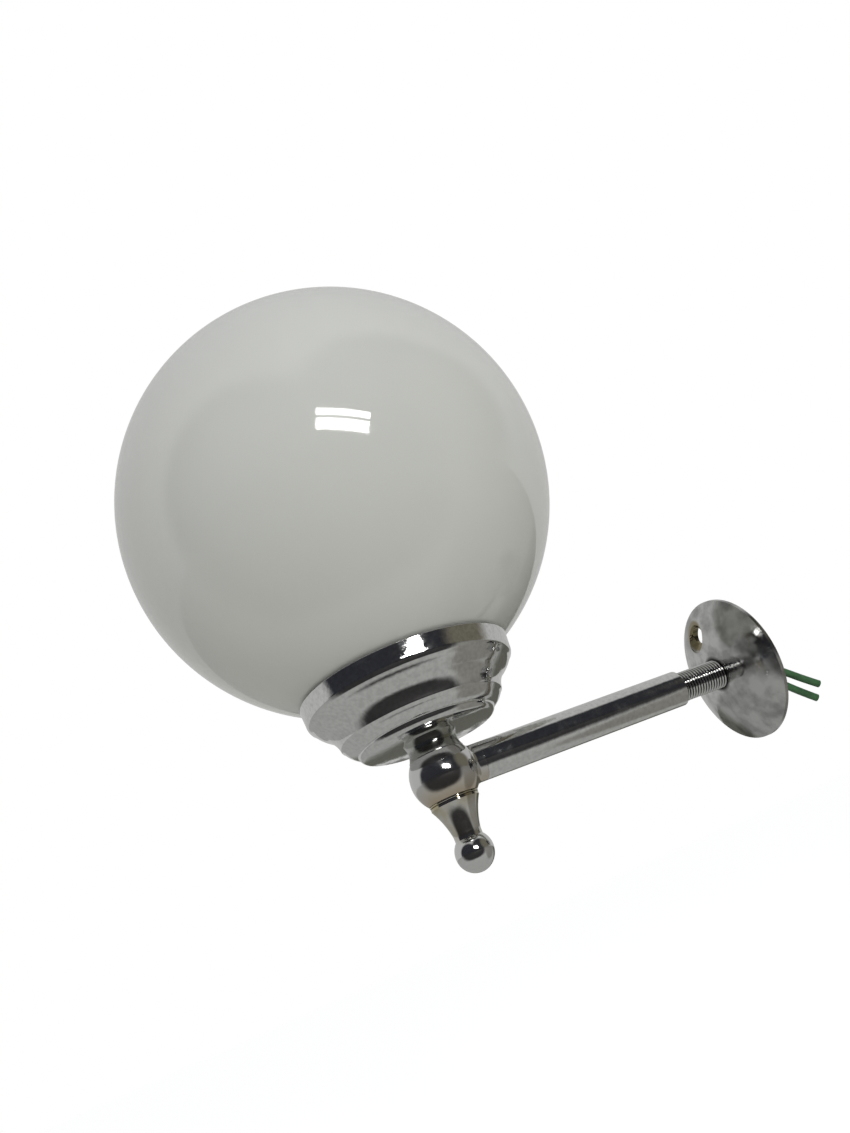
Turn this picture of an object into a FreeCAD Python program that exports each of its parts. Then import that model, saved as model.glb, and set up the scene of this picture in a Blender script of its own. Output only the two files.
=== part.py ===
"""Wall light with a glass globe on a stepped cup, a ball elbow and a tube arm.

The frame: origin at the centre of the wall plate's back, +Z up, +Y into the wall.
The arm runs along -Y. The globe, its cup and the finial stand on a vertical axis
through the elbow ball, and their heights are measured from the ball's centre.
"""
import FreeCAD, Part

import math
import os
import re

import Sketcher

Vector = FreeCAD.Vector
Rotation = FreeCAD.Rotation
Placement = FreeCAD.Placement

doc = FreeCAD.newDocument("GlobeWallLight")

# Driving dimensions in millimetres and degrees, with what each one is.
SIZES = {
    "arm_reach": (112, "wall to the centre of the elbow ball"),
    "running_clearance": (0.05, "radial play between parts that turn or slide on each other"),
    "soft_clearance": (0.3, "gap left under and around soft or loose seats"),
    "rod_diameter": (10, "outside of the hollow threaded rod and of the cup's nipple"),
    "rod_bore": (7, "wire way through rod and nipple"),
    "rod_setback": (1, "rear end of the rod in front of the wall"),
    "rod_entry": (5.6, "front end of the rod behind the ball's centre"),
    "tube_diameter": (12, "smooth arm tube, outside"),
    "tube_wall": (0.75, "smooth arm tube, wall"),
    "tube_length": (75.5, "smooth arm tube, length"),
    "boss_reach": (12.5, "end of the ball's arm boss from the ball's centre"),
    "boss_blend": (2.4, "fillet where the boss meets the ball"),
    "ball_diameter": (22, "elbow ball"),
    "ball_top": (6.4, "flat on top of the ball, above its centre"),
    "ball_bottom": (7.6, "flat below the ball, under its centre"),
    "ball_cavity": (3, "bottom of the wire cavity under the centre"),
    "collar_diameter": (19.8, "foot of the turned collar between ball and cup"),
    "collar_height": (5.9, "collar, height"),
    "collar_land": (1.2, "straight band above the collar's foot"),
    "collar_top_radius": (13, "top of the collar, under the cup"),
    "collar_cove": (6, "radius of the collar's hollow flare"),
    "collar_edge": (0.6, "rounded edge of the collar's foot"),
    "stud_diameter": (8, "stud of the finial"),
    "stud_length": (4.2, "stud above the finial's shoulder"),
    "washer_thickness": (0.6, "thin washer under the finial's shoulder"),
    "finial_top_diameter": (15.6, "shoulder of the finial"),
    "finial_land": (0.9, "straight band below the finial's shoulder"),
    "finial_neck_diameter": (8.8, "waist above the small ball"),
    "finial_neck_height": (18.4, "waist under the elbow ball's centre"),
    "finial_cove": (26, "radius of the finial's hollow flank"),
    "finial_ball_diameter": (12.1, "small ball"),
    "finial_ball_height": (24.1, "small ball's centre under the elbow ball's centre"),
    "plate_diameter": (50, "wall plate"),
    "plate_height": (7.7, "wall to the crown of the plate"),
    "plate_edge": (1.2, "straight rim of the plate"),
    "plate_wall": (3, "plate, wall"),
    "plate_seat": (3.6, "thickness of the plate where its nut bears"),
    "screw_reach": (16.5, "wall screw's distance from the rod's axis"),
    "screw_hole": (6, "wall screw hole"),
    "screw_head": (11.6, "countersink of the wall screw hole"),
    "screw_sink": (1.9, "countersink's depth"),
    "screw_turn": (15, "screw hole from upright, in degrees"),
    "nut_flats": (14, "thin nuts, across flats"),
    "nut_height": (2.5, "thin nuts, height"),
    "nut_chamfer": (0.7, "thin nuts, chamfer"),
    "globe_diameter": (150, "glass globe"),
    "glass": (3, "glass thickness"),
    "neck_diameter": (62, "glass neck"),
    "neck_length": (7.2, "glass neck below the globe's shoulder"),
    "neck_blend": (1.2, "fillet between neck and globe"),
    "rim_radius": (35.7, "rim band of the cup, top"),
    "rim_top": (34, "top of the rim band"),
    "rim_low": (27.4, "bottom of the rim band"),
    "rim_bend_radius": (35.2, "rim band where it starts to round inwards"),
    "rim_bend": (2, "start of that rounding above the bottom of the rim band"),
    "rim_round": (3.2, "rounding at the foot of the rim band"),
    "rim_low_radius": (34.6, "bottom of the rim band"),
    "cup_wall": (0.9, "sheet of the cup"),
    "tier_one_radius": (34.1, "first tier where it leaves the rim band"),
    "tier_one_height": (27, "first tier, top"),
    "tier_one_low_radius": (30.2, "first tier, lower edge radius"),
    "tier_one_low_height": (23.3, "first tier, lower edge height"),
    "tier_one_round": (12, "rounding of the first tier"),
    "cove_radius": (27.4, "foot of the hollow between the tiers"),
    "cove_height": (18.1, "foot of the hollow between the tiers, height"),
    "cove_round": (9, "rounding of the hollow between the tiers"),
    "tier_two_radius": (26.9, "second tier, top"),
    "tier_two_height": (17.7, "second tier, top height"),
    "tier_two_low_radius": (24.2, "second tier, lower edge radius"),
    "tier_two_low_height": (14.9, "second tier, lower edge height"),
    "tier_two_round": (9, "rounding of the second tier"),
    "tier_three_radius": (23.0, "third tier, top"),
    "tier_three_height": (14.5, "third tier, top height"),
    "tier_three_low_radius": (21.4, "third tier, lower edge radius"),
    "tier_three_round": (2.4, "rounding of the third tier"),
    "ring_lift": (0.5, "thread ring above the foot of the rim"),
    "ring_height": (3.6, "thread ring, height"),
    "seat_radius": (32.1, "seat ring, inside radius"),
    "seat_height": (1.4, "seat ring under the globe, height"),
    "plain_washer_diameter": (18, "washer in the cup"),
    "plain_washer_height": (1, "washer in the cup, thickness"),
    "nipple_entry": (3.2, "lower end of the nipple above the ball's centre"),
    "nipple_top": (23, "upper end of the nipple"),
    "holder_base": (17.2, "underside of the lamp holder's cap"),
    "holder_neck_diameter": (14, "threaded neck of the holder's cap"),
    "holder_neck_top": (24, "where the cap's neck opens out"),
    "holder_bell_height": (30, "where the cap's side becomes straight"),
    "holder_diameter": (30, "lamp holder's cap"),
    "holder_side_top": (38, "upper edge of the cap's side"),
    "holder_wall": (0.8, "brass sheet of the lamp holder"),
    "block_low": (31.5, "underside of the terminal block"),
    "block_top": (40, "upper face of the terminal block"),
    "grub_diameter": (3, "grub screw in the cap's neck"),
    "grub_height": (20.6, "grub screw above the ball's centre"),
    "grub_length": (3, "grub screw, length"),
    "contact_spacing": (11, "between the two lamp contacts"),
    "contact_tube_diameter": (5, "contact tube, outside"),
    "contact_tube_bore": (3.8, "contact tube, bore"),
    "contact_tube_low": (32.5, "foot of the contact tubes"),
    "contact_tube_top": (41.6, "mouth of the contact tubes"),
    "plunger_low": (38.6, "underside of the plungers at rest"),
    "plunger_top": (46, "tip of the plungers at rest"),
    "plunger_foot": (2, "wider foot that keeps a plunger in its tube"),
    "plunger_stem_diameter": (3, "plunger's stem"),
    "plunger_tip": (1.1, "rounding of a plunger's tip"),
    "spring_wire": (0.45, "wire of the contact springs"),
    "spring_turns": (4, "turns of a contact spring"),
    "barrel_bore": (22.4, "bore that takes the lamp's cap"),
    "barrel_top": (57, "mouth of the bayonet barrel"),
    "slot_width": (2.8, "bayonet slots, width"),
    "slot_depth": (8, "bayonet slots, depth from the mouth"),
    "slot_run": (4.4, "sideways run of a bayonet slot"),
    "slot_catch": (1.6, "upward catch at the end of a slot"),
    "clamp_top": (41.6, "top of the clamp ring round the barrel"),
    "clamp_low": (35, "lower edge of the clamp ring"),
    "clamp_wall": (1.2, "wall of the clamp ring"),
    "wire_diameter": (2.6, "insulated wire"),
    "wire_spacing": (2.8, "between the two wires in the rod"),
    "terminal_spacing": (8, "between the wires at the terminal block"),
    "terminal_screw_diameter": (2.5, "terminal screws"),
    "terminal_head_diameter": (4, "terminal screw heads"),
}

sheet = doc.addObject("Spreadsheet::Sheet", "Sizes")
for row, (alias, (size, meaning)) in enumerate(SIZES.items(), start=1):
    sheet.set(f"A{row}", alias.replace("_", " "))
    sheet.set(f"B{row}", str(size))
    sheet.setAlias(f"B{row}", alias)
    sheet.set(f"C{row}", meaning)
doc.recompute()


def bound(words):
    """An expression written with the sheet's aliases, as FreeCAD reads it."""
    return re.sub(
        r"[a-z_]+",
        lambda found: "Sizes." + found.group(0) if found.group(0) in SIZES else found.group(0),
        words,
    )


def value(words):
    """What such an expression is worth now, in millimetres or degrees."""
    return float(sheet.evalExpression(bound(words)))


nodes = []


def origin_plane(body, role):
    """The body's own origin plane or axis of that role."""
    return next(item for item in body.Origin.OriginFeatures if item.Role == role)


def new_body(label):
    """A body that becomes one node of the assembly."""
    body = doc.addObject("PartDesign::Body", label)
    body.Label = label
    nodes.append(body)
    return body


def on_globe_axis(body):
    """Places a body on the vertical axis of the globe, its zero at the ball's centre."""
    body.Placement = Placement(Vector(0, -value("arm_reach"), 0), Rotation())
    body.setExpression("Placement.Base.y", bound("-arm_reach"))
    return body


def on_arm_axis(body):
    """Turns a body's own Z axis to run out from the wall, its zero on the wall."""
    body.Placement = Placement(Vector(0, 0, 0), Rotation(Vector(1, 0, 0), 90))
    return body


def new_sketch(body, name, role="XZ_Plane"):
    """A sketch on one of the body's own origin planes."""
    sketch = body.newObject("Sketcher::SketchObject", f"{body.Name}_{name}")
    sketch.AttachmentSupport = [(origin_plane(body, role), "")]
    sketch.MapMode = "FlatFace"
    return sketch


def pin_point(sketch, index, point, across, up):
    """Ties one sketch point to two expressions, or to an axis where one is zero."""
    for kind, words, axis in (("DistanceX", across, -2), ("DistanceY", up, -1)):
        if words == "0":
            sketch.addConstraint(Sketcher.Constraint("PointOnObject", index, point, axis))
            continue
        tie = sketch.addConstraint(
            Sketcher.Constraint(kind, -1, 1, index, point, value(words))
        )
        sketch.setExpression(f"Constraints[{tie}]", bound(words))


def bent_middle(start, end, radius, side):
    """The middle of the shorter arc from start to end, bulging to the given side."""
    chord = end - start
    half = chord.Length / 2
    rise = radius - math.sqrt(max(radius * radius - half * half, 0))
    across = Vector(chord.y, -chord.x, 0).normalize()
    return (start + end) * 0.5 + across * (rise * side)


def draw_profile(sketch, outline):
    """Draws a closed outline of (across, up) or (across, up, radius, side) corners.

    A corner with a radius begins an arc to the next one. Side 1 bulges to the right
    of the way from corner to corner, and side -1 to the left.
    """
    corners = [Vector(value(item[0]), value(item[1]), 0) for item in outline]
    for index, item in enumerate(outline):
        start = corners[index]
        end = corners[(index + 1) % len(corners)]
        if len(item) == 2:
            sketch.addGeometry(Part.LineSegment(start, end), False)
            continue
        middle = bent_middle(start, end, value(item[2]), item[3])
        sketch.addGeometry(Part.Arc(start, middle, end), False)
    ends = []
    for index, item in enumerate(outline):
        clockwise = len(item) == 4 and item[3] == -1
        ends.append((2, 1) if clockwise else (1, 2))
    for index, item in enumerate(outline):
        following = (index + 1) % len(outline)
        sketch.addConstraint(
            Sketcher.Constraint("Coincident", index, ends[index][1], following, ends[following][0])
        )
        pin_point(sketch, index, ends[index][0], item[0], item[1])
        if len(item) == 4:
            tie = sketch.addConstraint(Sketcher.Constraint("Radius", index, value(item[2])))
            sketch.setExpression(f"Constraints[{tie}]", bound(item[2]))


def turn(body, outline, name="Outline", cut=False):
    """Revolves an outline about the body's own Z axis, adding or cutting."""
    sketch = new_sketch(body, name)
    draw_profile(sketch, outline)
    kind = "PartDesign::Groove" if cut else "PartDesign::Revolution"
    feature = body.newObject(kind, f"{body.Name}_{name}_turned")
    feature.Profile = sketch
    feature.ReferenceAxis = (sketch, ["V_Axis"])
    feature.Angle = 360
    doc.recompute()
    return feature


def circle_at(sketch, across, up, radius):
    """A circle in a sketch, with its centre and radius tied to expressions."""
    centre = Vector(value(across), value(up), 0)
    index = sketch.addGeometry(Part.Circle(centre, Vector(0, 0, 1), value(radius)), False)
    pin_point(sketch, index, 3, across, up)
    tie = sketch.addConstraint(Sketcher.Constraint("Radius", index, value(radius)))
    sketch.setExpression(f"Constraints[{tie}]", bound(radius))
    return index


def lift_sketch(sketch, height):
    """Moves a sketch along its own normal by an expression."""
    sketch.AttachmentOffset = Placement(Vector(0, 0, value(height)), Rotation())
    sketch.setExpression("AttachmentOffset.Base.z", bound(height))


def cut_round(body, name, places, radius, low, high):
    """Bores round holes along the body's Z axis from height low to height high."""
    sketch = new_sketch(body, name, "XY_Plane")
    lift_sketch(sketch, low)
    for across, up in places:
        circle_at(sketch, across, up, radius)
    pocket = body.newObject("PartDesign::Pocket", f"{body.Name}_{name}_bored")
    pocket.Profile = sketch
    pocket.Reversed = True
    pocket.Length = value(f"{high} - ({low})")
    pocket.setExpression("Length", bound(f"{high} - ({low})"))
    doc.recompute()
    return pocket


def round_edges(body, name, radius, wanted):
    """Fillets the edges of the body's tip for which wanted(edge) is true."""
    base = body.Tip
    names = [
        f"Edge{number}"
        for number, edge in enumerate(base.Shape.Edges, start=1)
        if wanted(edge)
    ]
    if not names:
        raise ValueError(f"{body.Label}: no edge to round for {name}")
    fillet = body.newObject("PartDesign::Fillet", f"{body.Name}_{name}")
    fillet.Base = (base, names)
    fillet.Radius = value(radius)
    fillet.setExpression("Radius", bound(radius))
    doc.recompute()
    return fillet


def circle_edge(radius, height, axis="z"):
    """A test for a whole round edge of that radius whose middle lies at that height."""
    def wanted(edge):
        if abs(edge.Length - 2 * math.pi * radius) > 1e-3:
            return False
        return abs(getattr(edge.CenterOfMass, axis) - height) < 1e-3
    return wanted


# Wall plate

PLATE_CURVE = (
    "((plate_diameter / 2)^2 + (plate_height - plate_edge)^2)"
    " / (2 * (plate_height - plate_edge))"
)
PLATE_CENTRE = f"plate_height - {PLATE_CURVE}"
PLATE_INSIDE = f"({PLATE_CURVE} - plate_wall)"
ROD_HOLE = "(rod_diameter / 2 + running_clearance)"


def wall_plate():
    """A low dome with a straight rim, hollow behind, and a flat seat for its nut."""
    body = on_arm_axis(new_body("wall_plate"))
    crown = f"{PLATE_CENTRE} + sqrt(({PLATE_CURVE})^2 - {ROD_HOLE}^2)"
    seat = f"{crown} - plate_seat"
    seat_edge = f"sqrt({PLATE_INSIDE}^2 - ({seat} - ({PLATE_CENTRE}))^2)"
    turn(body, [
        (f"sqrt({PLATE_INSIDE}^2 - ({PLATE_CENTRE})^2)", "0"),
        ("plate_diameter / 2", "0"),
        ("plate_diameter / 2", "plate_edge", PLATE_CURVE, 1),
        (ROD_HOLE, crown),
        (ROD_HOLE, seat),
        (seat_edge, seat, PLATE_INSIDE, -1),
    ])
    sketch = new_sketch(body, "ScrewHole")
    sketch.AttachmentOffset = Placement(
        Vector(0, 0, 0), Rotation(Vector(0, 1, 0), value("90 + screw_turn"))
    )
    middle = "screw_reach"
    surface = f"{PLATE_CENTRE} + sqrt(({PLATE_CURVE})^2 - ({middle})^2)"
    shank_top = f"{surface} - screw_sink"
    lift = "plate_height"
    draw_profile(sketch, [
        (middle, f"-{lift}"),
        (f"{middle} + screw_hole / 2", f"-{lift}"),
        (f"{middle} + screw_hole / 2", shank_top),
        (f"{middle} + screw_head / 2", surface),
        (f"{middle} + screw_head / 2", f"2 * {lift}"),
        (middle, f"2 * {lift}"),
    ])
    axis = sketch.addGeometry(
        Part.LineSegment(Vector(value(middle), 0, 0), Vector(value(middle), 10, 0)), True
    )
    sketch.addConstraint(Sketcher.Constraint("Coincident", axis, 2, 5, 1))
    sketch.addConstraint(Sketcher.Constraint("Coincident", axis, 1, 0, 1))
    groove = body.newObject("PartDesign::Groove", "wall_plate_screw_hole")
    groove.Profile = sketch
    groove.ReferenceAxis = (sketch, ["Axis0"])
    groove.Angle = 360
    doc.recompute()
    body.Tip = groove
    doc.recompute()
    return body


def thin_nut(label, low, axis_place):
    """A thin six-sided nut on the rod's thread, chamfered at both ends."""
    body = axis_place(new_body(label))
    sketch = new_sketch(body, "Hexagon", "XY_Plane")
    lift_sketch(sketch, low)
    corner = "nut_flats / sqrt(3)"
    places = [(f"{corner} * cos({60 * k})", f"{corner} * sin({60 * k})") for k in range(6)]
    places = [(across, "0" if k % 3 == 0 else up) for k, (across, up) in enumerate(places)]
    draw_profile(sketch, places)
    pad = body.newObject("PartDesign::Pad", f"{label}_hexagon_pad")
    pad.Profile = sketch
    pad.Length = value("nut_height")
    pad.setExpression("Length", bound("nut_height"))
    doc.recompute()
    cut_round(body, "Thread", [("0", "0")], "rod_diameter / 2 + running_clearance",
              low, f"{low} + nut_height")
    outer = f"{corner} + nut_chamfer"
    for name, edge_height, way in (("Lower", low, 1), ("Upper", f"{low} + nut_height", -1)):
        turn(body, [
            ("nut_flats / 2 - 0.1", edge_height),
            (outer, edge_height),
            (outer, f"{edge_height} + {way} * ({outer} - nut_flats / 2 + 0.1) * 0.5"),
        ], f"{name}Chamfer", cut=True)
    return body


# Arm

def arm_tube():
    """The smooth tube, a sleeve over the rod that butts on the ball's boss."""
    body = on_arm_axis(new_body("arm_tube"))
    low = "arm_reach - boss_reach - tube_length"
    high = "arm_reach - boss_reach"
    bore = "tube_diameter / 2 - tube_wall"
    turn(body, [
        (bore, low),
        ("tube_diameter / 2", low),
        ("tube_diameter / 2", high),
        (bore, high),
    ])
    return body


def threaded_rod():
    """The hollow rod that runs from behind the plate into the ball."""
    body = on_arm_axis(new_body("threaded_rod"))
    turn(body, [
        ("rod_bore / 2", "rod_setback"),
        ("rod_diameter / 2", "rod_setback"),
        ("rod_diameter / 2", "arm_reach - rod_entry"),
        ("rod_bore / 2", "arm_reach - rod_entry"),
    ])
    return body


# Elbow and finial

def elbow_ball():
    """The ball, with a blended boss for the arm and a cavity for the wires."""
    body = on_globe_axis(new_body("elbow_ball"))
    turn(body, [
        ("0", "-ball_bottom"),
        ("sqrt((ball_diameter / 2)^2 - ball_bottom^2)", "-ball_bottom",
         "ball_diameter / 2", 1),
        ("0", "ball_diameter / 2"),
    ])
    sketch = new_sketch(body, "Boss")
    circle_at(sketch, "0", "0", "tube_diameter / 2")
    pad = body.newObject("PartDesign::Pad", "elbow_ball_boss")
    pad.Profile = sketch
    pad.Reversed = True
    pad.Length = value("boss_reach")
    pad.setExpression("Length", bound("boss_reach"))
    doc.recompute()
    meeting = value("sqrt((ball_diameter / 2)^2 - (tube_diameter / 2)^2)")
    round_edges(body, "Blend", "boss_blend",
                circle_edge(value("tube_diameter / 2"), meeting, "y"))
    turn(body, [
        ("0", "-ball_bottom"),
        ("stud_diameter / 2 + running_clearance", "-ball_bottom"),
        ("stud_diameter / 2 + running_clearance", "-ball_cavity"),
        ("rod_diameter / 2", "-ball_cavity"),
        ("rod_diameter / 2", "ball_top"),
        ("ball_diameter", "ball_top"),
        ("ball_diameter", "ball_diameter"),
        ("0", "ball_diameter"),
    ], "Cavity", cut=True)
    bore = new_sketch(body, "ArmBore")
    circle_at(bore, "0", "0", "rod_diameter / 2")
    pocket = body.newObject("PartDesign::Pocket", "elbow_ball_arm_bore")
    pocket.Profile = bore
    pocket.Length = value("boss_reach")
    pocket.setExpression("Length", bound("boss_reach"))
    doc.recompute()
    return body


FINIAL_TOP = "(-ball_bottom - washer_thickness)"


def finial_washer():
    """The thin washer that shows as a bright line under the ball."""
    body = on_globe_axis(new_body("finial_washer"))
    turn(body, [
        ("stud_diameter / 2 + running_clearance", FINIAL_TOP),
        ("finial_top_diameter / 2 + 0.1", FINIAL_TOP),
        ("finial_top_diameter / 2 + 0.1", "-ball_bottom - running_clearance"),
        ("stud_diameter / 2 + running_clearance", "-ball_bottom - running_clearance"),
    ])
    return body


def finial():
    """The turned finial: shoulder, hollow flank, waist, small ball, and its stud."""
    body = on_globe_axis(new_body("finial"))
    top = f"{FINIAL_TOP} - running_clearance"
    waist = "finial_neck_diameter / 2"
    meeting = f"-finial_ball_height + sqrt((finial_ball_diameter / 2)^2 - ({waist})^2)"
    turn(body, [
        ("0", "-finial_ball_height - finial_ball_diameter / 2", "finial_ball_diameter / 2", 1),
        (waist, meeting),
        (waist, "-finial_neck_height", "finial_cove", -1),
        ("finial_top_diameter / 2", f"{top} - finial_land"),
        ("finial_top_diameter / 2", top),
        ("stud_diameter / 2", top),
        ("stud_diameter / 2", f"{top} + stud_length"),
        ("0", f"{top} + stud_length"),
    ])
    return body


# Stepped cup and what clamps it

def neck_collar():
    """The short turned collar between the ball and the cup."""
    body = on_globe_axis(new_body("neck_collar"))
    turn(body, [
        ("rod_diameter / 2", "ball_top"),
        ("collar_diameter / 2", "ball_top"),
        ("collar_diameter / 2", "ball_top + collar_land", "collar_cove", -1),
        ("collar_top_radius", "ball_top + collar_height"),
        ("rod_diameter / 2", "ball_top + collar_height"),
    ])
    foot = circle_edge(value("collar_diameter / 2"), value("ball_top"))
    round_edges(body, "Foot", "collar_edge", foot)
    return body


CUP_FLOOR = "(ball_top + collar_height)"
RIM_BEND = "(rim_low + rim_bend)"
# The cup's outline from the rim down: radius, height, rounding up to the next corner,
# the side that it bulges to, and how many sheets the inner corner lies in and up.
CUP_OUTLINE = [
    ("rim_radius", "rim_top", None, 0, -1.0, 0.0),
    ("rim_bend_radius", RIM_BEND, "rim_round", -1, -1.0, 0.1),
    ("rim_low_radius", "rim_low", None, 0, -1.0, 0.45),
    ("tier_one_radius", "tier_one_height", "tier_one_round", -1, -1.0, 0.6),
    ("tier_one_low_radius", "tier_one_low_height", "cove_round", 1, -0.26, 1.0),
    ("cove_radius", "cove_height", None, 0, -0.93, 0.65),
    ("tier_two_radius", "tier_two_height", "tier_two_round", -1, -0.91, 0.66),
    ("tier_two_low_radius", "tier_two_low_height", None, 0, -0.29, 0.96),
    ("tier_three_radius", "tier_three_height", "tier_three_round", -1, -0.22, 1.0),
    ("tier_three_low_radius", CUP_FLOOR, None, 0, -0.33, 1.0),
]


def gallery_cup():
    """The spun cup of three tiers, drawn outside and inside from one outline."""
    body = on_globe_axis(new_body("gallery_cup"))
    outside = []
    inside = []
    rounding_above = None
    for radius, height, rounding, side, inwards, upwards in CUP_OUTLINE:
        outside.append((radius, height) if rounding is None else (radius, height, rounding, side))
        corner = (f"{radius} + {inwards} * cup_wall", f"{height} + {upwards} * cup_wall")
        inside.append(corner if rounding_above is None else (*corner, *rounding_above))
        thick_enough = rounding is not None and value(rounding) > 2 * value("cup_wall")
        rounding_above = (f"{rounding} + ({side}) * cup_wall", -side) if thick_enough else None
    floor = [
        ("rod_diameter / 2", CUP_FLOOR),
        ("rod_diameter / 2", f"{CUP_FLOOR} + cup_wall"),
    ]
    turn(body, outside + floor + inside[::-1])
    return body


RIM_FOOT = "(rim_low + 0.45 * cup_wall)"
RIM_KNEE = f"({RIM_BEND} + 0.1 * cup_wall)"
RIM_TAPER = f"((rim_radius - rim_bend_radius) / (rim_top - {RIM_KNEE}))"
FOOT_TAPER = f"((rim_bend_radius - rim_low_radius) / ({RIM_KNEE} - {RIM_FOOT}))"
NECK_WAY = "(neck_diameter / 2 + soft_clearance)"
RING_LOW = "(rim_low + ring_lift)"
RING_TOP = f"({RING_LOW} + ring_height)"
SEAT_LOW = f"({RING_TOP} + soft_clearance)"
SEAT_TOP = f"({SEAT_LOW} + seat_height)"
GLOBE_CENTRE = f"({SEAT_TOP} + soft_clearance + sqrt((globe_diameter / 2)^2 - seat_radius^2))"


def rim_inside(height):
    """Inside radius of the rim at a height above its rounding."""
    return f"(rim_bend_radius - cup_wall + {RIM_TAPER} * ({height} - {RIM_KNEE}))"


def thread_ring():
    """The ring in the rim that the glass neck screws into."""
    body = on_globe_axis(new_body("thread_ring"))
    turn(body, [
        (NECK_WAY, RING_LOW),
        (f"rim_low_radius - cup_wall + {FOOT_TAPER} * ({RING_LOW} - {RIM_FOOT})", RING_LOW),
        ("rim_bend_radius - cup_wall", RIM_KNEE),
        (rim_inside(RING_TOP), RING_TOP),
        (NECK_WAY, RING_TOP),
    ])
    return body


def seat_ring():
    """The soft ring round the neck that the globe's shoulder comes down on."""
    body = on_globe_axis(new_body("seat_ring"))
    outside = f"{rim_inside(SEAT_LOW)} - soft_clearance"
    turn(body, [
        ("seat_radius", SEAT_LOW),
        (outside, SEAT_LOW),
        (outside, SEAT_TOP),
        ("seat_radius", SEAT_TOP),
    ])
    return body


def globe():
    """The blown globe with its neck, hollow and open below."""
    body = on_globe_axis(new_body("globe"))
    outside = "(globe_diameter / 2)"
    inside = "(globe_diameter / 2 - glass)"
    neck = "(neck_diameter / 2)"
    mouth = "(neck_diameter / 2 - glass)"
    shoulder = f"({GLOBE_CENTRE} - sqrt({outside}^2 - {neck}^2))"
    turn(body, [
        (neck, shoulder, outside, 1),
        ("0", f"{GLOBE_CENTRE} + {outside}"),
        ("0", f"{GLOBE_CENTRE} + {inside}", inside, -1),
        (mouth, f"{GLOBE_CENTRE} - sqrt({inside}^2 - {mouth}^2)"),
        (mouth, f"{shoulder} - neck_length"),
        (neck, f"{shoulder} - neck_length"),
    ])
    round_edges(body, "Shoulder", "neck_blend", circle_edge(value(neck), value(shoulder)))
    return body


def plain_washer():
    """The washer on the floor of the cup."""
    body = on_globe_axis(new_body("cup_washer"))
    low = f"{CUP_FLOOR} + cup_wall"
    turn(body, [
        ("rod_diameter / 2", low),
        ("plain_washer_diameter / 2", low),
        ("plain_washer_diameter / 2", f"{low} + plain_washer_height"),
        ("rod_diameter / 2", f"{low} + plain_washer_height"),
    ])
    return body


def nipple():
    """The hollow threaded nipple that ties ball, cup and lamp holder together."""
    body = on_globe_axis(new_body("nipple"))
    turn(body, [
        ("rod_bore / 2", "nipple_entry"),
        ("rod_diameter / 2", "nipple_entry"),
        ("rod_diameter / 2", "nipple_top"),
        ("rod_bore / 2", "nipple_top"),
    ])
    return body


# Lamp holder

def holder_cap():
    """The holder's brass cap: threaded neck, bell and straight side."""
    body = on_globe_axis(new_body("holder_cap"))
    side = "holder_diameter / 2"
    neck = "holder_neck_diameter / 2"
    turn(body, [
        ("rod_diameter / 2", "holder_base"),
        (neck, "holder_base"),
        (neck, "holder_neck_top", "holder_bell_height - holder_neck_top + 4", 1),
        (side, "holder_bell_height"),
        (side, "holder_side_top"),
        (f"{side} - holder_wall", "holder_side_top"),
        (f"{side} - holder_wall", "holder_bell_height + holder_wall",
         "holder_bell_height - holder_neck_top + 4 - holder_wall", -1),
        (f"{neck} - holder_wall", "holder_neck_top + holder_wall"),
        ("rod_diameter / 2", "holder_neck_top + holder_wall"),
    ])
    hole = new_sketch(body, "GrubHole", "YZ_Plane")
    circle_at(hole, "0", "grub_height", "grub_diameter / 2")
    pocket = body.newObject("PartDesign::Pocket", "holder_cap_grub_hole")
    pocket.Profile = hole
    pocket.Reversed = True
    pocket.Length = value("holder_neck_diameter")
    pocket.setExpression("Length", bound("holder_neck_diameter"))
    doc.recompute()
    return body


def grub_screw():
    """The grub screw that stops the holder turning on the nipple."""
    body = on_globe_axis(new_body("grub_screw"))
    sketch = new_sketch(body, "Shank", "YZ_Plane")
    lift_sketch(sketch, "rod_diameter / 2")
    circle_at(sketch, "0", "grub_height", "grub_diameter / 2")
    pad = body.newObject("PartDesign::Pad", "grub_screw_shank")
    pad.Profile = sketch
    pad.Length = value("grub_length")
    pad.setExpression("Length", bound("grub_length"))
    doc.recompute()
    slot = new_sketch(body, "Slot", "YZ_Plane")
    lift_sketch(slot, "rod_diameter / 2 + grub_length - 0.8")
    wide = "grub_diameter"
    draw_profile(slot, [
        (f"-{wide}", "grub_height - 0.25"),
        (wide, "grub_height - 0.25"),
        (wide, "grub_height + 0.25"),
        (f"-{wide}", "grub_height + 0.25"),
    ])
    pocket = body.newObject("PartDesign::Pocket", "grub_screw_slot")
    pocket.Profile = slot
    pocket.Reversed = True
    pocket.Length = 2
    doc.recompute()
    return body


CONTACT_PLACES = [("contact_spacing / 2", "0"), ("-contact_spacing / 2", "0")]
TERMINAL_PLACES = [("terminal_spacing / 2", "0"), ("-terminal_spacing / 2", "0")]
BLOCK_RADIUS = "(holder_diameter / 2 - holder_wall - soft_clearance)"


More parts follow.
